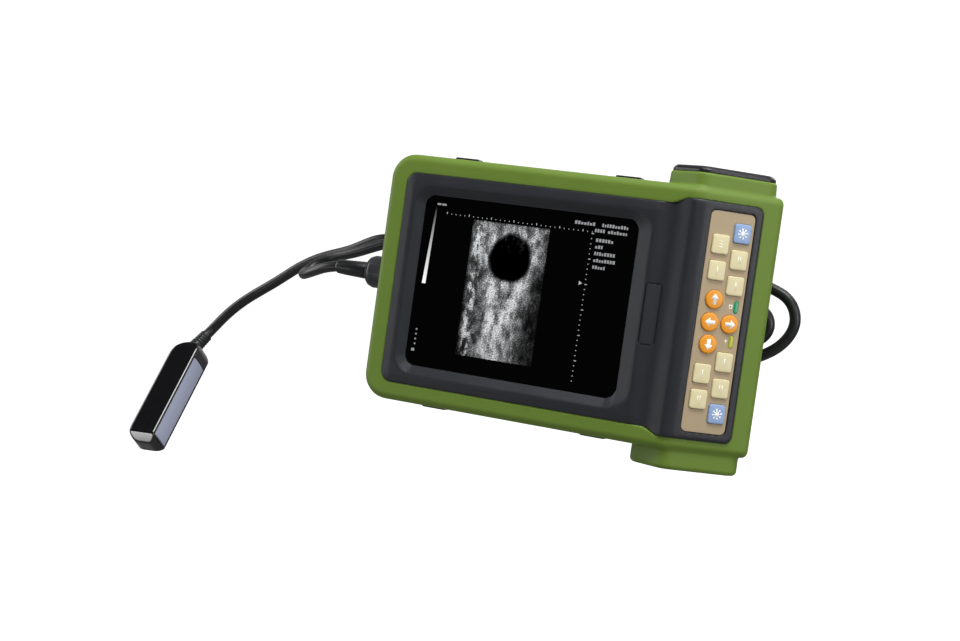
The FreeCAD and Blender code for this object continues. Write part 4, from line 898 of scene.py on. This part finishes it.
PLUG_START = (-122.1, *SOCKET_YZ)
BOOT_START = (-137.6, *SOCKET_YZ)
LEFTWARDS = (-1, 0, 0)  # away from the case
PLUG_PROFILE = [(0.0, 7.0), (13.9, 7.0), (13.95, 9.0), (14.5, 9.0), (15.2, 8.3), (15.6, 7.0),
                (15.6, 3.0)]
NOSE_PROFILE = [(0.0, 4.9), (0.0, 6.0), (-12.4, 6.0), (-13.0, 5.6), (-13.0, 4.8), (0.0, 4.8)]
RING_PROFILE = [(0.1, 9.0), (0.5, 9.7), (1.2, 9.95), (3.3, 9.95), (3.7, 9.9), (10.9, 9.9),
                (11.3, 9.95), (12.2, 9.9), (13.2, 9.5), (13.8, 8.9), (13.8, 7.1), (0.1, 7.1)]
BOOT_PROFILE = [(0.0, 0.05), (0.0, 5.2), (0.3, 5.4), (17.0, 4.7), (21.6, 4.35), (22.6, 4.2),
                (23.2, 3.7), (23.2, 0.05)]

add_mesh("plug", *lathe(PLUG_PROFILE, PLUG_START, LEFTWARDS), CONNECTOR,
         "plug", "probe_plug", "connector_grey", sharp=40)
add_mesh("plug_nose", *lathe_tube(NOSE_PROFILE, PLUG_START, LEFTWARDS), STEEL,
         "plug", None, "connector_grey", sharp=40)
add_mesh("ring", *lathe_tube(RING_PROFILE, PLUG_START, LEFTWARDS, 192, ring_flute), CONNECTOR,
         "lock_ring", "lock_ring", "connector_grey", sharp=35)
add_mesh("plug_guard", *lathe(BOOT_PROFILE, BOOT_START, LEFTWARDS), JACKET,
         "plug", "plug_boot", "cable_black", sharp=40)

# ------------------------------------------------------------------ cable
GUARD_START = np.array([-276.3, 47.0, -66.8])  # where the probe's cord guard begins
GUARD_AXIS = np.array([0.32528893, 0.55730198, 0.76393823])
CORD_RADIUS = 3.3
CORD_STEP = 1.2
CORD_PATH = np.array([  # x, y, z from the plug, twice round the back of the case, to the probe
    (-161.0, 20.0, 0.5), (-169.0, 20.6, -1.2), (-180.0, 24.5, -4.6), (-191.5, 32.5, -7.6),
    (-196.2, 40.0, -7.2), (-195.4, 46.6, -3.4), (-188.2, 51.2, 2.8), (-168.1, 48.5, 9.6),
    (-146.6, 46.0, 17.4), (-110.0, 44.0, 26.0), (-50.0, 44.0, 32.5), (5.0, 47.5, 35.0),
    (40.0, 59.0, 34.0), (70.0, 66.5, 31.0), (99.0, 67.0, 24.0), (112.0, 67.0, 18.0),
    (117.4, 67.0, 6.5), (113.0, 67.0, -6.0), (98.5, 67.0, -17.2), (68.0, 67.5, -27.0),
    (40.0, 62.0, -32.5), (5.0, 51.0, -36.0), (-30.0, 44.5, -34.0), (-51.0, 43.5, -22.0),
    (-57.0, 43.5, -5.0), (-45.0, 44.0, 9.0), (-15.0, 45.5, 16.0), (20.0, 52.0, 17.5),
    (48.0, 64.0, 17.0), (75.0, 67.5, 15.5), (94.0, 67.5, 11.8), (100.4, 67.5, 7.6),
    (102.6, 67.5, 1.0), (99.6, 67.5, -5.6), (91.0, 67.8, -9.4), (60.0, 69.0, -11.5),
    (20.0, 62.5, -10.5), (-20.0, 57.0, -7.0), (-55.0, 54.5, -1.5), (-100.0, 53.5, 9.0),
    (-151.0, 53.5, 21.0), (-173.5, 57.0, 11.9), (-194.5, 60.0, 4.8), (-213.8, 61.0, -5.0),
    (-226.2, 61.0, -14.0), (-238.8, 61.0, -22.8), (-250.9, 60.0, -31.8), (-262.2, 58.0, -43.0),
    tuple(GUARD_START + GUARD_AXIS * 15.0), tuple(GUARD_START + GUARD_AXIS * 11.0),
])
FIRST_BEND, SECOND_BEND = 45, 47  # path points where the cord bends


def spline(path, step):
    """Natural cubic spline; returns points, their chord lengths and those of the knots."""
    knots = np.concatenate([[0], np.cumsum(np.linalg.norm(np.diff(path, axis=0), axis=1))])
    count = len(path)
    gaps = np.diff(knots)
    system = np.zeros((count, count))
    target = np.zeros((count, 3))
    system[0, 0] = system[-1, -1] = 1
    for i in range(1, count - 1):
        system[i, i - 1:i + 2] = gaps[i - 1], 2 * (gaps[i - 1] + gaps[i]), gaps[i]
        target[i] = 6 * ((path[i + 1] - path[i]) / gaps[i] - (path[i] - path[i - 1]) / gaps[i - 1])
    bend = np.linalg.solve(system, target)
    lengths = np.linspace(0, knots[-1], int(knots[-1] / step) + 1)
    k = np.clip(np.searchsorted(knots, lengths, side="right") - 1, 0, count - 2)
    ahead, behind = (knots[k + 1] - lengths)[:, None], (lengths - knots[k])[:, None]
    gap = gaps[k][:, None]
    points = ((bend[k] * ahead ** 3 + bend[k + 1] * behind ** 3) / (6 * gap)
              + (path[k] / gap - bend[k] * gap / 6) * ahead
              + (path[k + 1] / gap - bend[k + 1] * gap / 6) * behind)
    return points, lengths, knots


def tube(points, radius, count=20):
    """Round tube whose rings turn as little as possible along the way."""
    tangents = np.gradient(points, axis=0)
    tangents /= np.linalg.norm(tangents, axis=1)[:, None]
    normal = np.cross(tangents[0], [0, 0, 1.0])
    normal /= np.linalg.norm(normal)
    angles = np.linspace(0, 2 * math.pi, count, endpoint=False)
    rings = []
    for point, tangent in zip(points, tangents):
        normal = normal - (normal @ tangent) * tangent
        normal /= np.linalg.norm(normal)
        side = np.cross(tangent, normal)
        rings.append(point + radius * (np.cos(angles)[:, None] * normal
                                       + np.sin(angles)[:, None] * side))
    return stack(rings)


def add_cord():
    """Two lengths that meet halfway between the bends."""
    points, lengths, knots = spline(CORD_PATH, CORD_STEP)
    first, second = knots[FIRST_BEND], knots[SECOND_BEND]

    def place(length):
        return tuple(to_row(points[np.searchsorted(lengths, length)]))

    split = np.searchsorted(lengths, 0.5 * (first + second))
    coil = add_mesh("cord_coil", *tube(points[:split + 1], CORD_RADIUS), JACKET,
                    slot="cable_black", sharp=60)
    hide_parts("cable_run", "cable_link")
    place(first - 10.0)
    place(first + 8.0)
    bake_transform(coil)
    tail = add_mesh("cord_end", *tube(points[split:], CORD_RADIUS), JACKET,
                    slot="cable_black", sharp=60)
    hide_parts("cable_tail")
    place(second - 8.0)
    tuple(to_row(points[-1] - GUARD_AXIS))
    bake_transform(tail)


add_cord()

# ------------------------------------------------------------------ probe
# Own axes: x along the probe from the cord end, y out of the lens, z out of the broad face.
PROBE_ORIGIN = np.array([-277.28, 47.59, -67.32])
PROBE_X = np.array([0.05112579, -0.60487287, -0.79467916])
PROBE_Y = np.array([0.99839472, 0.0115348, 0.05545211])
PROBE_Z = np.array([-0.02437501, -0.79623851, 0.6044916])
PROBE_LENGTH, PROBE_HALF_Y, PROBE_HALF_Z = 81.0, 10.0, 9.25
LENS_SEAT = (12.98, 75.02, -7.52, 7.52, 1.0)  # x, z
LENS_BOX = (13.02, 74.98, -7.48, 7.48, 1.0)
PROBE_ROOM = (15.0, 73.0, -6.0, 6.0, 1.0)


def probe_to_drawing(points):
    return PROBE_ORIGIN + points[:, :1] * PROBE_X + points[:, 1:2] * PROBE_Y + points[:, 2:3] * PROBE_Z


def probe_field(x, y, z):
    # outline of the broad face: a radius for each corner, the largest at the cord end
    past_nose = x - PROBE_LENGTH
    cord_end = np.maximum(round_max(-x, -y - PROBE_HALF_Y, 13.0),
                          round_max(-x, y - PROBE_HALF_Y, 7.5))
    nose = np.maximum(round_max(past_nose, -y - PROBE_HALF_Y, 9.0),
                      round_max(past_nose, y - PROBE_HALF_Y, 3.5))
    field = round_max(np.maximum(cord_end, nose), np.abs(z) - PROBE_HALF_Z, 1.6)
    # broad chamfers at the nose
    for face_z in (z, -z):
        chamfer = plane(x, face_z, (0.64, 0.77), (PROBE_LENGTH, PROBE_HALF_Z)) + 3.6
        field = round_max(field, chamfer, 0.6)
    # waist towards the cord end
    waist = plane(-x, np.abs(z), (0.5, 0.866), (0.0, PROBE_HALF_Z)) + 2.0
    field = round_max(field, waist, 2.0)
    field = cut(field, np.maximum(box(x, z, *LENS_SEAT), 8.0 - y))
    return cut(field, np.maximum(box(x, z, *PROBE_ROOM), np.abs(y - 2.0) - 6.5))


def lens_field(x, y, z):
    crown = 10.35 - 0.012 * z * z
    return round_max(round_max(box(x, z, *LENS_BOX), 8.05 - y, 0.05), y - crown, 0.5)


def guard_profile():
    """Tapered cord guard with ribs between 2.6 and 9.6 mm."""
    profile = [(-0.5, 0.05), (-0.5, 4.75), (0.0, 4.8)]
    for distance in np.linspace(0.2, 10.6, 50):
        groove = 0
        if 2.6 < distance < 9.6:
            groove = 0.28 * max(0, math.cos(2 * math.pi * (distance - 3.2) / 1.9)) ** 2
        profile.append((distance, 4.75 - 0.65 * distance / 11.5 - groove))
    return profile + [(10.9, 4.1), (11.1, 3.8), (11.1, 0.05)]


def add_probe():
    shell, faces = grid_mesh(probe_field, (-1, -11.5, -10.5), (82.5, 11.5, 10.5),
                             0.45)
    add_mesh("probe_shell", probe_to_drawing(shell), faces, GLOSS,
             "probe", "probe_housing", "probe_gloss", sharp=45)
    lens, faces = grid_mesh(lens_field, (12, 7, -8.5), (76, 11.2, 8.5), 0.4)
    add_mesh("probe_face", probe_to_drawing(lens), faces, LAVENDER,
             "probe", "probe_lens", "lens_lavender", sharp=45)
    add_mesh("probe_guard", *lathe(guard_profile(), GUARD_START, GUARD_AXIS, 48), JACKET,
             "probe", "probe_boot", "cable_black", sharp=45)


add_probe()


# ------------------------------------------------------------------ display materials
def emissive(name, build, **settings):
    """Material of one emission node, wired up by build(tree, emission)."""
    mat = bpy.data.materials.new(name)
    mat.use_nodes = True
    tree = mat.node_tree
    for node in list(tree.nodes):
        tree.nodes.remove(node)
    output = tree.nodes.new("ShaderNodeOutputMaterial")
    emission = tree.nodes.new("ShaderNodeEmission")
    tree.links.new(emission.outputs[0], output.inputs[0])
    build(tree, emission, **settings)
    return mat


def map_range(tree, value, from_min, from_max, to_min, to_max, soft=False):
    node = tree.nodes.new("ShaderNodeMapRange")
    if soft:
        node.interpolation_type = "SMOOTHSTEP"
    node.inputs["From Min"].default_value = from_min
    node.inputs["From Max"].default_value = from_max
    node.inputs["To Min"].default_value = to_min
    node.inputs["To Max"].default_value = to_max
    tree.links.new(value, node.inputs["Value"])
    return node.outputs["Result"]


def build_marks(tree, emission, level):
    noise = tree.nodes.new("ShaderNodeTexNoise")
    noise.inputs["Scale"].default_value = 900
    coords = tree.nodes.new("ShaderNodeTexCoord")
    tree.links.new(coords.outputs["Object"], noise.inputs["Vector"])
    strength = map_range(tree, noise.outputs["Fac"], 0.0, 1.0, level * 0.85, level * 1.1)
    tree.links.new(strength, emission.inputs["Strength"])
    emission.inputs["Color"].default_value = (0.95, 0.97, 1, 1)


WEDGE_TOP, WEDGE_BOTTOM = 44.1, -1.8  # z of the grey bar


def build_wedge(tree, emission):
    """Black at the top of the bar to white at its bottom."""
    coords = tree.nodes.new("ShaderNodeTexCoord")
    split = tree.nodes.new("ShaderNodeSeparateXYZ")
    tree.links.new(coords.outputs["Object"], split.inputs[0])
    strength = map_range(tree, split.outputs["Z"], (WEDGE_TOP + 85) / 1000,
                         (WEDGE_BOTTOM + 85) / 1000, 0.0, 1.0)
    tree.links.new(strength, emission.inputs["Strength"])


def build_scan(tree, emission):
    """Grainy picture with a dark round hollow, in drawing x and z."""
    nodes, link = tree.nodes, tree.links.new

    def calc(operation, *values):
        node = nodes.new("ShaderNodeMath")
        node.operation = operation
        for i, value in enumerate(values):
            if isinstance(value, bpy.types.NodeSocket):
                link(value, node.inputs[i])
            else:
                node.inputs[i].default_value = value
        return node.outputs[0]

    def add(one, other):
        return calc("ADD", one, other)

    def sub(one, other):
        return calc("SUBTRACT", one, other)

    def mul(one, other):
        return calc("MULTIPLY", one, other)

    def fade(value, from_min, from_max, to_min, to_max, soft=True):
        return map_range(tree, value, from_min, from_max, to_min, to_max, soft)

    coords = nodes.new("ShaderNodeTexCoord")
    drawing = nodes.new("ShaderNodeVectorMath")
    drawing.operation = "MULTIPLY_ADD"
    drawing.inputs[1].default_value = (1000, 1000, 1000)
    drawing.inputs[2].default_value = tuple(-ORIGIN_SHIFT)
    link(coords.outputs["Object"], drawing.inputs[0])
    split = nodes.new("ShaderNodeSeparateXYZ")
    link(drawing.outputs[0], split.inputs[0])
    x, z = split.outputs["X"], split.outputs["Z"]
    flat = nodes.new("ShaderNodeCombineXYZ")
    link(x, flat.inputs[0])
    link(z, flat.inputs[1])

    def noise(scale, stretch=(1.0, 1.0), detail=2, shift=0.0, rough=0.5):
        mapping = nodes.new("ShaderNodeMapping")
        mapping.inputs["Scale"].default_value = (*stretch, 1)
        mapping.inputs["Location"].default_value = (shift, shift * 1.7, 0)
        link(flat.outputs[0], mapping.inputs["Vector"])
        texture = nodes.new("ShaderNodeTexNoise")
        texture.inputs["Scale"].default_value = scale
        texture.inputs["Detail"].default_value = detail
        texture.inputs["Roughness"].default_value = rough
        link(mapping.outputs[0], texture.inputs["Vector"])
        return texture.outputs["Fac"]

    grain = noise(0.95, stretch=(1.0, 1.9), detail=3, shift=3.1, rough=0.7)
    fine_grain = noise(2.3, stretch=(1.0, 1.6), detail=2, shift=9.4, rough=0.6)
    broad_patch = noise(0.085, detail=4, shift=5.5, rough=0.6)
    patch = noise(0.16, stretch=(1.7, 0.8), detail=3, shift=14.0, rough=0.6)
    warp = noise(0.09, detail=0, shift=21.0)
    # dark hollow with a bright wall and faint wisps in its upper part
    from_x, from_z = sub(x, -38.5), sub(z, 19.5)
    squared = add(mul(from_x, from_x), mul(mul(from_z, from_z), 0.8))
    radius = add(calc("SQRT", squared), mul(sub(warp, 0.5), 4.0))
    outside = fade(radius, 11.4, 14.2, 0.0, 1.0)
    wall = mul(fade(radius, 12.6, 14.6, 0.0, 1.0), fade(radius, 15.0, 19.0, 1.0, 0.0))
    wisp = mul(fade(patch, 0.5, 0.66, 0.0, 1.0), fade(z, 20.0, 31.0, 0.0, 0.5))
    # two bright streaks that run down from the hollow
    off_axis = calc("ABSOLUTE", add(from_x, mul(add(z, -6.0), -0.16)))
    spread = fade(z, 8.0, -20.0, 12.0, 3.0, soft=False)
    streak = fade(calc("ABSOLUTE", sub(off_axis, spread)), 0.5, 5.5, 1.0, 0.0)
    streak = mul(streak, mul(fade(z, 10.0, 4.0, 0.0, 1.0), fade(z, -14.0, -42.0, 1.0, 0.3)))
    # glow below the hollow, column at the left edge, lighter upper part
    below = mul(fade(z, 12.0, 2.0, 0.0, 1.0),
                fade(calc("ABSOLUTE", add(from_x, 1.0)), 4.0, 19.0, 1.0, 0.1))
    column = mul(fade(calc("ABSOLUTE", add(x, 60.0)), 0.5, 4.5, 1.0, 0.0),
                 fade(patch, 0.46, 0.6, 0.0, 1.0))
    upper = mul(fade(z, 2.0, 20.0, 0.0, 1.0), fade(z, 38.6, 39.5, 1.0, 0.6))
    light = add(0.05, mul(fade(broad_patch, 0.36, 0.66, 0.0, 1.0), 0.2))
    for part, weight in ((below, 0.22), (streak, 0.42), (column, 0.4), (upper, 0.16), (wall, 0.2)):
        light = add(light, mul(part, weight))
    light = mul(light, fade(patch, 0.36, 0.6, 0.5, 1.2))
    edges = mul(fade(x, -65.0, -62.5, 0.4, 1.0),
                fade(add(x, mul(z, -0.12)), -16.0, -26.0, 0.3, 1.0))
    light = mul(light, edges)
    light = mul(light, add(mul(outside, 0.97), mul(wisp, 0.4)))
    speckle = mul(fade(grain, 0.3, 0.74, 0.25, 2.0), fade(fine_grain, 0.3, 0.7, 0.5, 1.5))
    # contrast, gain and ceiling
    strength = calc("MINIMUM", mul(calc("POWER", mul(light, speckle), 1.5), 1.0), 0.85)
    link(strength, emission.inputs["Strength"])
    emission.inputs["Color"].default_value = (0.96, 0.98, 1.0, 1)


MARKS = emissive("screen_marks", build_marks, level=0.5)
MARKS_DIM = emissive("screen_marks_dim", build_marks, level=0.34)
WEDGE = emissive("screen_wedge", build_wedge)
SCAN = emissive("screen_scan", build_scan)

# ------------------------------------------------------------------ picture on the display
PICTURE_Y, PICTURE_THICK = 3.55, 0.04
GREEKED_LINES = [  # x start, x end, z of the lines of illegible text
    (-1.3, 12.0, 45.6), (15.5, 31.2, 45.6), (11.5, 17.5, 42.2), (19.5, 31.0, 42.2),
    (13.0, 24.0, 36.8), (13.0, 17.5, 33.0), (13.0, 25.5, 29.2), (13.0, 27.0, 25.3),
    (13.0, 20.5, 21.4),
]


def add_picture_part(name, polygons, material):
    points, faces = prisms(polygons, PICTURE_Y + PICTURE_THICK, PICTURE_Y, lambda x, y, z: (x, y, z))
    add_mesh(name, points, faces, material, "case", slot="window_black")


def rect(x0, x1, z0, z1):
    return [(x0, z0), (x1, z0), (x1, z1), (x0, z1)]


def ruler_ticks():
    """A ruler along the top, one down the right side and a pointer; every fifth tick is long."""
    ticks = []
    for k in range(33):
        x = -83.0 + k * 2.9
        ticks.append(rect(x, x + 0.45, 40.8, 41.3 if k % 5 else 42.0))
    for k in range(30):
        z = 40.4 - k * 2.93
        ticks.append(rect(9.8, 10.4 if k % 5 else 11.2, z - 0.45, z))
    return ticks + [[(8.2, 11.3), (6.2, 12.5), (6.2, 10.1)]]


def small_marks():
    marks = [rect(-93.0, -92.0, z, z + 0.9) for z in (-29.9, -32.8, -35.7, -38.6)]
    marks += [rect(-94.2, -92.2, -42.6, -41.0)]
    marks += [rect(-90.0, -87.5, 45.5, 46.6), rect(-86.9, -84.0, 45.5, 46.6)]
    random = np.random.RandomState(4)
    for start, end, z in GREEKED_LINES:
        x = start
        while x < end - 0.8:
            width = 0.9 + 0.5 * random.rand()
            top = z + 0.9 - 0.5 * (random.rand() < 0.4)
            marks.append(rect(x, min(x + width, end), z - 1.0, top))
            x += width + 0.55
    return marks


add_picture_part("screen_scan_area", [rect(-65.0, -16.0, -40.5, 39.5)], SCAN)
add_picture_part("screen_grey_bar", [[(-90.6, WEDGE_TOP), (-93.3, WEDGE_BOTTOM),
                                      (-90.9, WEDGE_BOTTOM), (-89.7, WEDGE_TOP)]], WEDGE)
add_picture_part("screen_rulers", ruler_ticks(), MARKS)
add_picture_part("screen_small_marks", small_marks(), MARKS_DIM)

# ------------------------------------------------------------------ stage (row frame, metres)
FLOOR_Z = -0.26
SWEEP_Y, SWEEP_RADIUS = 1.6, 0.9  # where the floor turns up into the backdrop
STAGE_HALF_WIDTH = 7.0


def stage_material():
    """Bright to the camera, dim to other rays; only the upright part shows in reflections."""
    mat = surface("stage_white", (0.86, 0.86, 0.86, 1), rough=0.9, bump=0.0, grain=10, vary=0.0,
                  specular=0.0, glow=0.62)
    tree = mat.node_tree
    nodes, link = tree.nodes, tree.links.new
    inputs = nodes["Principled BSDF"].inputs
    inputs["Emission Color"].default_value = (1, 1, 1, 1)
    rays = nodes.new("ShaderNodeLightPath")
    is_camera = rays.outputs["Is Camera Ray"]
    base = map_range(tree, is_camera, 0.0, 1.0, 0.07, 0.85)
    geometry = nodes.new("ShaderNodeNewGeometry")
    split = nodes.new("ShaderNodeSeparateXYZ")
    link(geometry.outputs["Position"], split.inputs[0])
    upright = map_range(tree, split.outputs["Z"], -0.2, 0.3, 0.0, 1.0)
    reflected = nodes.new("ShaderNodeMath")
    reflected.operation = "MULTIPLY"
    link(rays.outputs["Is Glossy Ray"], reflected.inputs[0])
    link(upright, reflected.inputs[1])
    strength = nodes.new("ShaderNodeMath")
    strength.operation = "MULTIPLY_ADD"
    strength.inputs[1].default_value = 0.38
    link(reflected.outputs[0], strength.inputs[0])
    link(base, strength.inputs[2])
    link(strength.outputs[0], inputs["Emission Strength"])
    # the colour mix goes by ray: darker to all but the camera, so little light bounces up
    mix = inputs["Base Color"].links[0].from_node
    mix.inputs["A"].default_value = (0.2, 0.2, 0.2, 1)
    link(is_camera, mix.inputs["Factor"])
    return mat


def add_floor():
    profile = [(-3.0, FLOOR_Z)]
    for k in range(13):
        angle = math.radians(90 * k / 12)
        profile.append((SWEEP_Y + SWEEP_RADIUS * math.sin(angle),
                        FLOOR_Z + SWEEP_RADIUS * (1 - math.cos(angle))))
    profile.append((SWEEP_Y + SWEEP_RADIUS, 4.0))
    points = [(x, y, z) for x in (-STAGE_HALF_WIDTH, STAGE_HALF_WIDTH) for y, z in profile]
    count = len(profile)
    faces = [(i, count + i, count + i + 1, i + 1) for i in range(count - 1)]
    mesh = bpy.data.meshes.new("floor")
    mesh.from_pydata(points, [], faces)
    mesh.update()
    floor = bpy.data.objects.new("floor", mesh)
    bpy.context.scene.collection.objects.link(floor)
    mesh.shade_smooth()
    mesh.materials.append(stage_material())


add_floor()

# ------------------------------------------------------------------ camera
CAMERA_YAW, CAMERA_PITCH, CAMERA_ROLL = (
    math.radians(angle) for angle in (24.628995, 1.987181, 7.957623))
CAMERA_TARGET = np.array([-50.363439, 0.0, -18.525367])  # drawing mm
CAMERA_DISTANCE = 963.607752


def add_camera():
    yaw, pitch, roll = CAMERA_YAW, CAMERA_PITCH, CAMERA_ROLL
    back = np.array([math.sin(yaw) * math.cos(pitch), -math.cos(yaw) * math.cos(pitch),
                     math.sin(pitch)])
    level_right = np.array([math.cos(yaw), math.sin(yaw), 0.0])
    level_up = np.cross(back, level_right)
    right = level_right * math.cos(roll) + level_up * math.sin(roll)
    up = -level_right * math.sin(roll) + level_up * math.cos(roll)
    place = to_row(CAMERA_TARGET + back * CAMERA_DISTANCE)
    data = bpy.data.cameras.new("camera")
    data.sensor_width = 36.0
    data.lens = 61.875
    data.clip_start, data.clip_end = 0.01, 50
    camera = bpy.data.objects.new("camera", data)
    bpy.context.scene.collection.objects.link(camera)
    camera.matrix_world = Matrix([[right[i], up[i], back[i], place[i]] for i in range(3)]
                                 + [[0, 0, 0, 1]])
    bpy.context.scene.camera = camera


add_camera()

# ------------------------------------------------------------------ lights and world
LIGHT_TARGET = (-0.12, 0.0, 0.07)
LIGHTS = [  # name, place, target, size, watts
    ("key_left", (-1.5, -0.25, 0.35), LIGHT_TARGET, (0.9, 1.2), 9.5),
    ("key_right", (1.45, -0.5, 0.5), LIGHT_TARGET, (0.7, 1.2), 9.5),
    ("top_front", (0.2, -0.55, 1.35), LIGHT_TARGET, (1.2, 0.5), 20),
    ("top", (-0.05, 0.15, 1.4), LIGHT_TARGET, (1.6, 0.8), 3),
    ("front_fill", (0.9, -1.7, 0.7), LIGHT_TARGET, (1.2, 0.8), 3),
    ("rear_fill", (0.15, 1.4, 1.1), LIGHT_TARGET, (1.2, 0.6), 7),
    ("nose_card", (-0.93, -0.93, -0.26), (-0.36, -0.04, -0.05), (0.26, 0.26), 1.7),
]


def add_light(name, place, target, size, watts):
    data = bpy.data.lights.new(name, "AREA")
    data.shape = "RECTANGLE"
    data.size, data.size_y = size
    data.energy = watts
    data.color = (1, 1, 1)
    light = bpy.data.objects.new(name, data)
    bpy.context.scene.collection.objects.link(light)
    light.location = place
    light.rotation_euler = (Vector(target) - Vector(place)).to_track_quat("-Z", "Y").to_euler()


def add_world():
    """Near white to the camera, faint as a light, fainter still in reflections."""
    world = bpy.data.worlds.new("world")
    bpy.context.scene.world = world
    world.use_nodes = True
    tree = world.node_tree
    background = tree.nodes["Background"]
    background.inputs[0].default_value = (0.96, 0.98, 1.0, 1)
    rays = tree.nodes.new("ShaderNodeLightPath")
    faint = map_range(tree, rays.outputs["Is Glossy Ray"], 0.0, 1.0, 0.1, 0.05)
    strength = tree.nodes.new("ShaderNodeMath")
    strength.operation = "MULTIPLY_ADD"
    strength.inputs[1].default_value = 0.9
    tree.links.new(rays.outputs["Is Camera Ray"], strength.inputs[0])
    tree.links.new(faint, strength.inputs[2])
    tree.links.new(strength.outputs[0], background.inputs[1])


for light_settings in LIGHTS:
    add_light(*light_settings)
add_world()
bpy.context.scene.view_settings.view_transform = "Standard"
